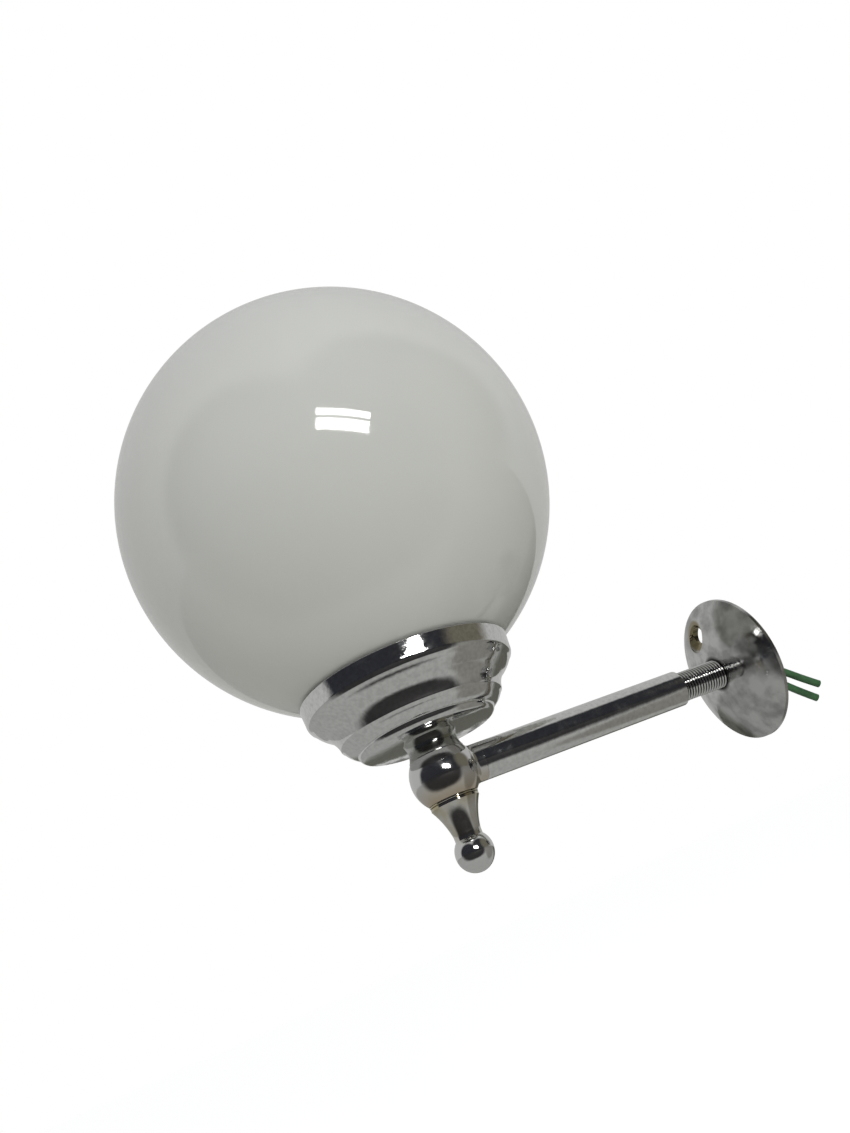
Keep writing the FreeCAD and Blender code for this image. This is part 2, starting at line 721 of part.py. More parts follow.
def terminal_block():
    """The moulded block that carries the contact tubes and takes the wires."""
    body = on_globe_axis(new_body("terminal_block"))
    turn(body, [
        ("0", "block_low"),
        (f"{BLOCK_RADIUS} - 2", "block_low"),
        (BLOCK_RADIUS, "block_low + 2"),
        (BLOCK_RADIUS, "holder_side_top"),
        ("barrel_bore / 2 - soft_clearance", "holder_side_top"),
        ("barrel_bore / 2 - soft_clearance", "block_top"),
        ("0", "block_top"),
    ])
    cut_round(body, "Tubes", CONTACT_PLACES, "contact_tube_diameter / 2",
              "contact_tube_low", "block_top")
    cut_round(body, "Wires", TERMINAL_PLACES, "wire_diameter / 2 + 0.1",
              "block_low", "contact_tube_low")
    cut_round(body, "Screws", [("0", "7.5"), ("0", "-7.5")], "terminal_screw_diameter / 2",
              "block_top - 4", "block_top")
    return body


def terminal_screws():
    """Two cheese-head screws in the block, one solid each."""
    places = [(0, 7.5), (0, -7.5)]
    screws = []
    top = value("block_top")
    for across, along in places:
        shank = Part.makeCylinder(
            value("terminal_screw_diameter / 2"), 3.6, Vector(across, along, top - 3.6)
        )
        head = Part.makeCylinder(
            value("terminal_head_diameter / 2"), 1.4, Vector(across, along, top)
        )
        slot = Part.makeBox(
            value("terminal_head_diameter"), 0.6, 0.7,
            Vector(across - value("terminal_head_diameter / 2"), along - 0.3, top + 0.7),
        )
        screws.append(shank.fuse(head).removeSplitter().cut(slot))
    return plain_node("terminal_screws", Part.makeCompound(screws))


def plain_node(label, shape):
    """A node whose shape is set directly, in the globe axis's frame."""
    item = doc.addObject("Part::Feature", label)
    item.Label = label
    item.Shape = shape
    item.Placement = Placement(Vector(0, -value("arm_reach"), 0), Rotation())
    nodes.append(item)
    return item


def contact_tubes():
    """The two brass tubes that guide the contact plungers, each with a foot and a lip."""
    wall = value("holder_wall")
    low = value("contact_tube_low")
    high = value("contact_tube_top")
    stem_way = value("plunger_stem_diameter / 2 + running_clearance")
    tubes = []
    for way in (1, -1):
        base = Vector(way * value("contact_spacing / 2"), 0, low)
        tube = Part.makeCylinder(value("contact_tube_diameter / 2"), high - low, base)
        hollow = Part.makeCylinder(
            value("contact_tube_bore / 2"), high - low - 2 * wall, base + Vector(0, 0, wall)
        )
        mouth = Part.makeCylinder(stem_way, 2 * wall, base + Vector(0, 0, high - low - 1.5 * wall))
        tubes.append(tube.cut(hollow).cut(mouth))
    return plain_node("contact_tubes", Part.makeCompound(tubes))


def plunger(label, way):
    """A contact plunger with a rounded tip, guided by its tube."""
    body = new_body(label)
    shift = f"{way} * contact_spacing / 2"
    body.Placement = Placement(Vector(value(shift), -value("arm_reach"), 0), Rotation())
    body.setExpression("Placement.Base.x", bound(shift))
    body.setExpression("Placement.Base.y", bound("-arm_reach"))
    foot = "contact_tube_bore / 2 - running_clearance"
    stem = "plunger_stem_diameter / 2"
    turn(body, [
        ("0", "plunger_low"),
        (foot, "plunger_low"),
        (foot, "plunger_low + plunger_foot"),
        (stem, "plunger_low + plunger_foot"),
        (stem, "plunger_top"),
        ("0", "plunger_top"),
    ])
    round_edges(body, "Tip", "plunger_tip", circle_edge(value(stem), value("plunger_top")))
    return body


def contact_spring(label, way):
    """The coil spring under a plunger: a wire swept along a helix, on its own axis."""
    wire = value("spring_wire")
    low = value("contact_tube_low + holder_wall + running_clearance") + wire / 2
    high = value("plunger_low - running_clearance") - wire / 2
    radius = value("contact_tube_bore / 2 - 0.15") - wire / 2
    coil = Part.makeLongHelix((high - low) / value("spring_turns"), high - low, radius)
    section = Part.Wire(Part.makeCircle(wire / 2, Vector(radius, 0, 0), Vector(0, 1, 0)))
    item = doc.addObject("Part::Feature", label)
    item.Label = label
    item.Shape = Part.Wire(coil.Edges).makePipeShell([section], True, True)
    shift = f"{way} * contact_spacing / 2"
    item.Placement = Placement(Vector(value(shift), -value("arm_reach"), low), Rotation())
    nodes.append(item)
    return item


def bayonet_barrel():
    """The barrel that takes the lamp's cap, with two bayonet slots."""
    body = on_globe_axis(new_body("bayonet_barrel"))
    bore = "barrel_bore / 2"
    outer = "barrel_bore / 2 + holder_wall"
    flange = "holder_diameter / 2 - soft_clearance"
    low = "holder_side_top + soft_clearance"
    turn(body, [
        (bore, low),
        (flange, low),
        (flange, f"{low} + holder_wall"),
        (outer, f"{low} + holder_wall"),
        (outer, "barrel_top"),
        (bore, "barrel_top"),
    ])
    half = "slot_width / 2"
    mouth = "barrel_top + 1"
    foot = "barrel_top - slot_depth"
    catch = f"{foot} + slot_width + slot_catch"
    for name, reverse, way in (("Front", False, 1), ("Back", True, -1)):
        sketch = new_sketch(body, f"{name}Slot")
        draw_profile(sketch, [
            (f"-{half} * {way}", mouth),
            (f"-{half} * {way}", foot),
            (f"({half} + slot_run) * {way}", foot),
            (f"({half} + slot_run) * {way}", catch),
            (f"({half} + slot_run - slot_width) * {way}", catch),
            (f"({half} + slot_run - slot_width) * {way}", f"{foot} + slot_width"),
            (f"{half} * {way}", f"{foot} + slot_width"),
            (f"{half} * {way}", mouth),
        ])
        pocket = body.newObject("PartDesign::Pocket", f"bayonet_barrel_{name.lower()}_slot")
        pocket.Profile = sketch
        pocket.Reversed = reverse
        pocket.Length = value("barrel_bore")
        pocket.setExpression("Length", bound("barrel_bore"))
        doc.recompute()
    return body


def clamp_ring():
    """The ring that holds the barrel's flange on the cap."""
    body = on_globe_axis(new_body("clamp_ring"))
    inner = "holder_diameter / 2 + running_clearance"
    outer = f"{inner} + clamp_wall"
    way = "barrel_bore / 2 + holder_wall + running_clearance"
    lip = "holder_side_top + 2 * soft_clearance + holder_wall"
    turn(body, [
        (inner, "clamp_low"),
        (outer, "clamp_low"),
        (outer, "clamp_top - 1"),
        (f"{outer} - 1", "clamp_top"),
        (way, "clamp_top"),
        (way, lip),
        (inner, lip),
    ])
    return body


# Wires

def rounded_route(points, name):
    """Straight runs through the points, joined by tangent arcs, with their radii."""
    share = 0.45
    edges = []
    radii = []
    start = points[0]
    for before, corner, after in zip(points, points[1:], points[2:]):
        back = (before - corner).normalize()
        ahead = (after - corner).normalize()
        run = min((before - corner).Length, (after - corner).Length)
        turned = math.pi - back.getAngle(ahead)
        trim = share * run
        radius = trim / math.tan(turned / 2)
        radii.append(round(radius, 1))
        entry = corner + back * trim
        leave = corner + ahead * trim
        bisector = (back + ahead).normalize()
        centre = corner + bisector * (radius / math.cos(turned / 2))
        middle = centre - bisector * radius
        edges.append(Part.LineSegment(start, entry).toShape())
        edges.append(Part.Arc(entry, middle, leave).toShape())
        start = leave
    edges.append(Part.LineSegment(start, points[-1]).toShape())
    print(name, "arc radii", radii)
    return Part.Wire(edges)


def wire_node(label, points):
    """An insulated wire as a round tube along its route, in the whole light's frame."""
    radius = value("wire_diameter / 2")
    route = rounded_route(points, label)
    along = (points[1] - points[0]).normalize()
    section = Part.Wire(Part.makeCircle(radius, points[0], along))
    solid = route.makePipeShell([section], True, True)
    expected = math.pi * radius * radius * route.Length
    print(label, "length", round(route.Length, 2), "volume share", round(solid.Volume / expected, 4))
    item = doc.addObject("Part::Feature", label)
    item.Label = label
    item.Shape = solid
    item.Placement = Placement(Vector(0, 0, 0), Rotation())
    nodes.append(item)


def held_wire(label, way):
    """The wire inside the light, from the terminal block to the rod's rear end."""
    reach = value("arm_reach")
    side = way * value("wire_spacing / 2")
    terminal = way * value("terminal_spacing / 2")
    top = value("contact_tube_low") - 0.2
    turn_start = 8.4
    wire_node(label, [
        Vector(terminal, -reach, top),
        Vector(terminal, -reach, value("block_low") - 2.5),
        Vector(side, -reach, value("nipple_top") + 0.5),
        Vector(side, -reach, turn_start),
        Vector(side, -reach + 1.6, 1.6),
        Vector(side, -reach + turn_start, 0),
        Vector(side, -value("rod_setback"), 0),
    ])


# The free ends behind the plate, on from the end of the rod: distance into the wall and
# height, for each wire.
UPPER_TAIL = [(1.6, 0), (6.0, -0.9), (11.0, -3.4), (17.0, -8.0), (22.2, -12.4), (26.6, -15.7)]
LOWER_TAIL = [(1.2, 0), (5.2, -1.8), (10.2, -5.9), (15.9, -11.4), (20.8, -16.0), (25.1, -19.6)]


def wire_tail(label, way, route):
    """A free end of wire, cut off a hand's breadth short of any terminal."""
    side = way * value("wire_spacing / 2")
    way_out = [(-value("rod_setback"), 0), *route]
    wire_node(label, [Vector(side, along, height) for along, height in way_out])


wall_plate()
thin_nut(
    "plate_nut",
    f"{PLATE_CENTRE} + sqrt(({PLATE_CURVE})^2 - {ROD_HOLE}^2) - plate_seat - nut_height",
    on_arm_axis,
)
threaded_rod()
arm_tube()
elbow_ball()
finial_washer()
finial()
neck_collar()
gallery_cup()
nipple()
plain_washer()
thin_nut("cup_nut", f"{CUP_FLOOR} + cup_wall + plain_washer_height", on_globe_axis)
thread_ring()
seat_ring()
globe()
holder_cap()
grub_screw()
terminal_block()
terminal_screws()
contact_tubes()
for side_name, side_way in (("right", 1), ("left", -1)):
    plunger(f"contact_plunger_{side_name}", side_way)
    contact_spring(f"contact_spring_{side_name}", side_way)
bayonet_barrel()
clamp_ring()
held_wire("wire_right", 1)
held_wire("wire_left", -1)
wire_tail("wire_tail_right", 1, UPPER_TAIL)
wire_tail("wire_tail_left", -1, LOWER_TAIL)

doc.recompute()
for item in doc.Objects:
    for problem in ("Invalid", "Error"):
        if problem in item.State:
            raise ValueError(f"{item.Label} is {problem}: {item.State}")
for node in nodes:
    if node.Shape.isNull() or not node.Shape.isValid():
        raise ValueError(f"{node.Label} has no valid shape")

os.makedirs("parts", exist_ok=True)
for node in nodes:
    node.Shape.exportStep(f"parts/{node.Label}.step")
    solids = node.Shape.Solids
    print(node.Label, len(solids), "solid(s)", round(node.Shape.Volume, 1), "mm3")
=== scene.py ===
"""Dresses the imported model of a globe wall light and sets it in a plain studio.

Every piece is made at the origin in metres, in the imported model's own frame: the wall is
the plane Y = 0, the arm runs along -Y, and the globe stands on a vertical axis through
the elbow ball at the arm's end.
"""

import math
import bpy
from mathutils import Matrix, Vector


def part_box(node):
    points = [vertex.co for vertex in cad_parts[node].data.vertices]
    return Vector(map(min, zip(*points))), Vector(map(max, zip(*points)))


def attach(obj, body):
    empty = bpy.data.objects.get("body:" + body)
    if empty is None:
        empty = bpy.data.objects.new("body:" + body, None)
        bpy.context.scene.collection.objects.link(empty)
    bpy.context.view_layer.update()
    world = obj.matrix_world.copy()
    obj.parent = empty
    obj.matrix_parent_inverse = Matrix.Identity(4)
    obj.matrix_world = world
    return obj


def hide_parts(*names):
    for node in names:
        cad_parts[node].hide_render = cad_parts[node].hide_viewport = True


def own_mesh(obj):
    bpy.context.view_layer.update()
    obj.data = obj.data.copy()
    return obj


bl_info = {
    "name": "Globe Wall Light",
    "version": (1, 0, 0),
    "blender": (4, 5, 0),
    "location": "3D View > Sidebar > Wall Light",
    "description": "Makes the visible pieces, finishes and studio of a globe wall light",
    "category": "Object",
}

import bmesh
import bpy
from bpy.props import (
    FloatProperty,
    FloatVectorProperty,
    IntProperty,
    PointerProperty,
)
from bpy.types import Operator, Panel, PropertyGroup
from mathutils import Matrix, Vector

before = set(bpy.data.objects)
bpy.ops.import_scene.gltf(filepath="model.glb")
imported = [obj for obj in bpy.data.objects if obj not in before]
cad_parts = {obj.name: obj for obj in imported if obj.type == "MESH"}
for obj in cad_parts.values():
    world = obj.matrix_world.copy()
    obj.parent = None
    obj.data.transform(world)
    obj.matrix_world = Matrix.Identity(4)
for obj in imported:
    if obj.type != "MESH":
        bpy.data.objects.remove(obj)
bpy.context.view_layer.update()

MM = 0.001


def node_box(node):
    """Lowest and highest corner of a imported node, in millimetres."""
    low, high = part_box(node)
    return Vector(low) / MM, Vector(high) / MM


# Where the pieces stand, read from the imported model, in millimetres.
BALL_LOW, BALL_HIGH = node_box("elbow_ball")
BALL_RADIUS = (BALL_HIGH.x - BALL_LOW.x) / 2
ARM_REACH = -BALL_LOW.y - BALL_RADIUS
GLOBE_LOW, GLOBE_HIGH = node_box("globe")
GLOBE_RADIUS = (GLOBE_HIGH.x - GLOBE_LOW.x) / 2
GLOBE_CENTRE = GLOBE_HIGH.z - GLOBE_RADIUS
ROD_LOW, ROD_HIGH = node_box("threaded_rod")
TUBE_LOW, TUBE_HIGH = node_box("arm_tube")
COLLAR_LOW, COLLAR_HIGH = node_box("neck_collar")
FINIAL_LOW, FINIAL_HIGH = node_box("finial")
CUP_TOP = node_box("gallery_cup")[1].z
WASHER_LOW, WASHER_HIGH = node_box("finial_washer")


class LightSizes(PropertyGroup):
    """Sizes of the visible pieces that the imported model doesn't give."""

    glass: FloatProperty(
        name="Glass thickness", description="Wall of the globe",
        default=0.003, subtype="DISTANCE",
    )
    glass_neck: FloatProperty(
        name="Glass neck radius", description="Outside radius of the globe's neck",
        default=0.031, subtype="DISTANCE",
    )
    thread_pitch: FloatProperty(
        name="Thread pitch", description="Pitch of the rod's visible thread",
        default=0.0011, subtype="DISTANCE",
    )
    thread_depth: FloatProperty(
        name="Thread depth", description="Depth of the rod's visible thread",
        default=0.00064, subtype="DISTANCE",
    )
    thread_length: FloatProperty(
        name="Thread length", description="Threaded stretch at the wall end of the rod",
        default=0.030, subtype="DISTANCE",
    )
    edge: FloatProperty(
        name="Edge rounding", description="Rounding of turned and spun edges",
        default=0.00022, subtype="DISTANCE",
    )
    wire_diameter: FloatProperty(
        name="Wire diameter", description="Outside of the insulated wires",
        default=0.0026, subtype="DISTANCE",
    )
    strands: IntProperty(
        name="Strands", description="Copper strands in each wire", default=7, min=1,
    )
    segments: IntProperty(
        name="Segments", description="Steps round each turned piece", default=192, min=24,
    )


class LightFinishes(PropertyGroup):
    """Colours of the finishes."""

    chrome: FloatVectorProperty(
        name="Chrome", description="Polished chrome plate",
        subtype="COLOR", size=3, default=(0.72, 0.72, 0.715),
    )
    opal: FloatVectorProperty(
        name="Opal glass", description="Opal glass of the globe",
        subtype="COLOR", size=3, default=(0.56, 0.57, 0.555),
    )
    wire: FloatVectorProperty(
        name="Wire insulation", description="Insulation of the wires",
        subtype="COLOR", size=3, default=(0.030, 0.088, 0.036),
    )
    brass: FloatVectorProperty(
        name="Brass", description="Brass of the lamp holder",
        subtype="COLOR", size=3, default=(0.62, 0.43, 0.17),
    )


class LightStudio(PropertyGroup):
    """Camera and light."""

    focal_length: FloatProperty(
        name="Focal length", description="Lens on a 36 mm wide sensor, in millimetres",
        default=33.882,
    )
    camera_place: FloatVectorProperty(
        name="Camera place", description="Where the camera stands",
        subtype="TRANSLATION", size=3, default=(0.24478, -0.17604, -0.03962),
    )
    camera_target: FloatVectorProperty(
        name="Camera target", description="The point in the middle of the picture",
        subtype="TRANSLATION", size=3, default=(0.0, -0.09061, 0.06986),
    )
    camera_roll: FloatProperty(
        name="Camera roll", description="Roll of the camera about its view",
        default=math.radians(23.43), subtype="ANGLE",
    )
    ambient: FloatProperty(
        name="Ambient light", description="Strength of the soft light from all round",
        default=0.62,
    )
    window: FloatProperty(
        name="Window light", description="Power of the soft window light, in watts",
        default=3.6,
    )
    window_turn: FloatProperty(
        name="Window turn", description="Turn of the window about its own middle",
        default=math.radians(-22), subtype="ANGLE",
    )
    floor_height: FloatProperty(
        name="Floor height", description="Height of the floor, below the light at every pose",
        default=-0.2, subtype="DISTANCE",
    )
    shine_height: FloatProperty(
        name="Shine height", description="Height of the floor that the metal reflects",
        default=-0.109, subtype="DISTANCE",
    )


PROPERTY_GROUPS = (
    ("wall_light_sizes", LightSizes),
    ("wall_light_finishes", LightFinishes),
    ("wall_light_studio", LightStudio),
)


# Meshes

# Points nearer than this are one, in metres, and edges sharper than this stay sharp: on
# the turned pieces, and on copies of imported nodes.
TURNED_WELD, COPIED_WELD = 1e-7, 2e-6
TURNED_SHARP, COPIED_SHARP = math.radians(28), math.radians(24)


def arc(start, end, radius, side, step=math.radians(5)):
    """Points from start towards end on an arc; side 1 bulges to the right of the way."""
    start = Vector(start)
    end = Vector(end)
    chord = end - start
    half = chord.length / 2
    across = Vector((chord.y, -chord.x)).normalized() * side
    centre = (start + end) / 2 - across * math.sqrt(radius * radius - half * half)
    turned = 2 * math.asin(half / radius)
    steps = max(2, math.ceil(turned / step))
    first = start - centre
    points = []
    for index in range(steps):
        angle = side * turned * index / steps
        cosine, sine = math.cos(angle), math.sin(angle)
        points.append((
            centre.x + first.x * cosine - first.y * sine,
            centre.y + first.x * sine + first.y * cosine,
        ))
    return points


def about_globe_axis(radius, height, angle):
    """A point on the vertical axis's pieces, from millimetres to metres."""
    return Vector((
        radius * math.cos(angle), radius * math.sin(angle) - ARM_REACH, height,
    )) * MM


def about_arm_axis(radius, distance, angle):
    """A point on the arm's pieces, at a distance out from the wall."""
    return Vector((
        radius * math.cos(angle), -distance, radius * math.sin(angle),
    )) * MM


def mesh_object(name, work):
    """Turns a bmesh into an object with outward faces and sharp edges kept sharp."""
    bmesh.ops.remove_doubles(work, verts=work.verts, dist=TURNED_WELD)
    bmesh.ops.recalc_face_normals(work, faces=work.faces)
    for face in work.faces:
        face.smooth = True
    for edge in work.edges:
        if len(edge.link_faces) == 2 and edge.calc_face_angle(0.0) > TURNED_SHARP:
            edge.smooth = False
    mesh = bpy.data.meshes.new(name)
    work.to_mesh(mesh)
    work.free()
    piece = bpy.data.objects.new(name, mesh)
    bpy.context.scene.collection.objects.link(piece)
    return piece


def spun(name, outline, place, segments):
    """A turned piece: a closed outline of (radius, height) taken round an axis."""
    work = bmesh.new()
    rings = []
    for radius, height in outline:
        if radius < 1e-6:
            rings.append([work.verts.new(place(0, height, 0))] * segments)
            continue
        rings.append([
            work.verts.new(place(radius, height, 2 * math.pi * step / segments))
            for step in range(segments)
        ])
    for index, ring in enumerate(rings):
        following = rings[(index + 1) % len(rings)]
        if ring[0] is ring[1] and following[0] is following[1]:
            continue
        for step in range(segments):
            after = (step + 1) % segments
            corners = [ring[step], ring[after], following[after], following[step]]
            distinct = list(dict.fromkeys(corners))
            if len(distinct) > 2:
                work.faces.new(distinct)
    return mesh_object(name, work)


def smooth_copy(node, name):
    """A merged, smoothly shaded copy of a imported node's mesh."""
    work = bmesh.new()
    work.from_mesh(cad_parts[node].data)
    bmesh.ops.remove_doubles(work, verts=work.verts, dist=COPIED_WELD)
    for face in work.faces:
        face.smooth = True
    for edge in work.edges:
        if len(edge.link_faces) == 2 and edge.calc_face_angle(0.0) > COPIED_SHARP:
            edge.smooth = False
    mesh = bpy.data.meshes.new(name)
    work.to_mesh(mesh)
    work.free()
    if "custom_normal" in mesh.attributes:
        mesh.attributes.remove(mesh.attributes["custom_normal"])
    piece = bpy.data.objects.new(name, mesh)
    bpy.context.scene.collection.objects.link(piece)
    return piece


def rounded_edges(piece, width, angle=30):
    """Rounds the sharp edges of a piece."""
    bevel = piece.modifiers.new("Rounded edges", "BEVEL")
    bevel.width = width
    bevel.segments = 3
    bevel.limit_method = "ANGLE"
    bevel.angle_limit = math.radians(angle)
    bevel.use_clamp_overlap = True
    return piece


def settle(piece, body, slot, material, *nodes):
    """Gives a piece its material and its body, and hides the nodes that it stands for."""
    piece.data.materials.clear()
    piece.data.materials.append(material)
    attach(piece, body)
    if nodes:
        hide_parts(*nodes)
    return piece


def finish_node(node, material):
    """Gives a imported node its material."""
    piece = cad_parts[node]
    piece.data.materials.clear()
    piece.data.materials.append(material)


# Geometry node trees

class Tree:
    """A small helper that adds and joins nodes in a geometry node tree."""

    def __init__(self, name, inputs):
        self.tree = bpy.data.node_groups.new(name, "GeometryNodeTree")
        self.tree.interface.new_socket("Geometry", in_out="INPUT", socket_type="NodeSocketGeometry")
        self.identifiers = {}
        for label, kind, default in inputs:
            socket = self.tree.interface.new_socket(label, in_out="INPUT", socket_type=kind)
            if default is not None:
                socket.default_value = default
            self.identifiers[label] = socket.identifier
        self.tree.interface.new_socket("Geometry", in_out="OUTPUT", socket_type="NodeSocketGeometry")
        self.source = self.tree.nodes.new("NodeGroupInput")
        self.result = self.tree.nodes.new("NodeGroupOutput")

    def add(self, kind, **sockets):
        """Adds a node; sockets are values or other nodes' outputs, by name or number."""
        settings = sockets.pop("settings", {})
        node = self.tree.nodes.new(kind)
        for key, setting in settings.items():
            setattr(node, key, setting)
        for key, feed in sockets.items():
            target = node.inputs[int(key[1:])] if key[0] == "_" else node.inputs[key.replace("_", " ")]
            if isinstance(feed, bpy.types.NodeSocket):
                self.tree.links.new(feed, target)
            else:
                target.default_value = feed
        return node

    def math(self, operation, *feeds):
        """A math node's result."""
        node = self.tree.nodes.new("ShaderNodeMath")
        node.operation = operation
        for socket, feed in zip(node.inputs, feeds):
            if isinstance(feed, bpy.types.NodeSocket):
                self.tree.links.new(feed, socket)
            else:
                socket.default_value = feed
        return node.outputs[0]

    def finish(self, geometry):
        """Ends the tree in realized instances and the piece's material."""
        real = self.add("GeometryNodeRealizeInstances", Geometry=geometry)
        dressed = self.add(
            "GeometryNodeSetMaterial",
            Geometry=real.outputs[0], Material=self.source.outputs["Material"],
        )
        self.tree.links.new(dressed.outputs[0], self.result.inputs[0])
        return self


def grown(name, tree, values):
    """Runs a geometry node tree and returns its result as a plain mesh object."""
    seed = bpy.data.meshes.new(name)
    piece = bpy.data.objects.new(name, seed)
    bpy.context.scene.collection.objects.link(piece)
    modifier = piece.modifiers.new("Shape", "NODES")
    modifier.node_group = tree.tree
    for label, setting in values.items():
        modifier[tree.identifiers[label]] = setting
    bpy.context.view_layer.update()
    graph = bpy.context.evaluated_depsgraph_get()
    mesh = bpy.data.meshes.new_from_object(piece.evaluated_get(graph), depsgraph=graph)
    piece.modifiers.remove(modifier)
    piece.data = mesh
    bpy.data.meshes.remove(seed)
    mesh.name = name
    return piece


def thread_tree():
    """An outside screw thread along +Z: a grid rolled round, its radius led by a helix."""
    tree = Tree("Screw thread", [
        ("Radius", "NodeSocketFloat", 0.005),
        ("Depth", "NodeSocketFloat", 0.0005),
        ("Pitch", "NodeSocketFloat", 0.001),
        ("Length", "NodeSocketFloat", 0.02),
        ("Turn Steps", "NodeSocketInt", 64),
        ("Length Steps", "NodeSocketInt", 240),
        ("Material", "NodeSocketMaterial", None),
    ])
    ins = tree.source.outputs
    grid = tree.add(
        "GeometryNodeMeshGrid", Size_X=ins["Length"], Size_Y=1.0,
        Vertices_X=ins["Length Steps"], Vertices_Y=ins["Turn Steps"],
    )
    place = tree.add("ShaderNodeSeparateXYZ", Vector=tree.add("GeometryNodeInputPosition").outputs[0])
    along = tree.math("ADD", place.outputs[0], tree.math("MULTIPLY", ins["Length"], 0.5))
    share = tree.math("ADD", place.outputs[1], 0.5)
    turned = tree.math("MULTIPLY", share, 2 * math.pi)
    phase = tree.math("SUBTRACT", tree.math("DIVIDE", along, ins["Pitch"]), share)
    wave = tree.math("ABSOLUTE", tree.math("COSINE", tree.math("MULTIPLY", phase, math.pi)))
    cut = tree.math("SUBTRACT", 1.0, wave)
    radius = tree.math("SUBTRACT", ins["Radius"], tree.math("MULTIPLY", cut, ins["Depth"]))
    point = tree.add(
        "ShaderNodeCombineXYZ",
        X=tree.math("MULTIPLY", radius, tree.math("COSINE", turned)),
        Y=tree.math("MULTIPLY", radius, tree.math("SINE", turned)),
        Z=along,
    )
    rolled = tree.add(
        "GeometryNodeSetPosition", Geometry=grid.outputs[0], Position=point.outputs[0],
    )
    closed = tree.add("GeometryNodeMergeByDistance", Geometry=rolled.outputs[0], Distance=1e-6)
    smooth = tree.add("GeometryNodeSetShadeSmooth", Geometry=closed.outputs[0])
    return tree.finish(smooth.outputs[0])


def closed_sleeve(piece, inside):
    """Closes an open thread into a sleeve: a ring at each end and a wall inside."""
    work = bmesh.new()
    work.from_mesh(piece.data)
    rims = [edge for edge in work.edges if edge.is_boundary]
    made = bmesh.ops.extrude_edge_only(work, edges=rims)["geom"]
    for part in made:
        if isinstance(part, bmesh.types.BMVert):
            part.co.xy = part.co.xy.normalized() * inside
    inner = [part for part in made if isinstance(part, bmesh.types.BMEdge) and part.is_boundary]
    for edge in rims + inner:
        edge.smooth = False
    bmesh.ops.bridge_loops(work, edges=inner)
    bmesh.ops.recalc_face_normals(work, faces=work.faces)
    work.to_mesh(piece.data)
    work.free()


def strands_tree():
    """The cut end of a stranded core: one strand in the middle and the others round it."""
    tree = Tree("Wire strands", [
        ("Strands", "NodeSocketInt", 7),
        ("Core Radius", "NodeSocketFloat", 0.0007),
        ("Length", "NodeSocketFloat", 0.002),
        ("Material", "NodeSocketMaterial", None),
    ])
    ins = tree.source.outputs
    lane = tree.math("DIVIDE", ins["Core Radius"], 3.0)
    strand_radius = tree.math("MULTIPLY", lane, 0.98)
    ring = tree.add(
        "GeometryNodeCurvePrimitiveCircle",
        Resolution=tree.math("SUBTRACT", ins["Strands"], 1.0),
        Radius=tree.math("MULTIPLY", lane, 2.0),
    )
    points = tree.add("GeometryNodeCurveToPoints", Curve=ring.outputs[0], settings={"mode": "EVALUATED"})
    middle = tree.add("GeometryNodePoints", Count=1)
    places = tree.add("GeometryNodeJoinGeometry")
    tree.tree.links.new(points.outputs[0], places.inputs[0])
    tree.tree.links.new(middle.outputs[0], places.inputs[0])
    strand = tree.add(
        "GeometryNodeMeshCylinder", Vertices=16,
        Radius=strand_radius, Depth=ins["Length"],
    )
    laid = tree.add(
        "GeometryNodeInstanceOnPoints",
        Points=places.outputs[0], Instance=strand.outputs[0],
    )
    return tree.finish(laid.outputs[0])


# Finishes

# A grain is a noise's scale in cells per metre, with its detail and stretch where they
# matter. This is the range of the noise's values that it uses, unless it says otherwise.
EVEN = (0.35, 0.65)

# The numbers of the colour sockets on a Mix node.
FIRST_COLOUR = 6
SECOND_COLOUR = 7
MIXED_COLOUR = 2


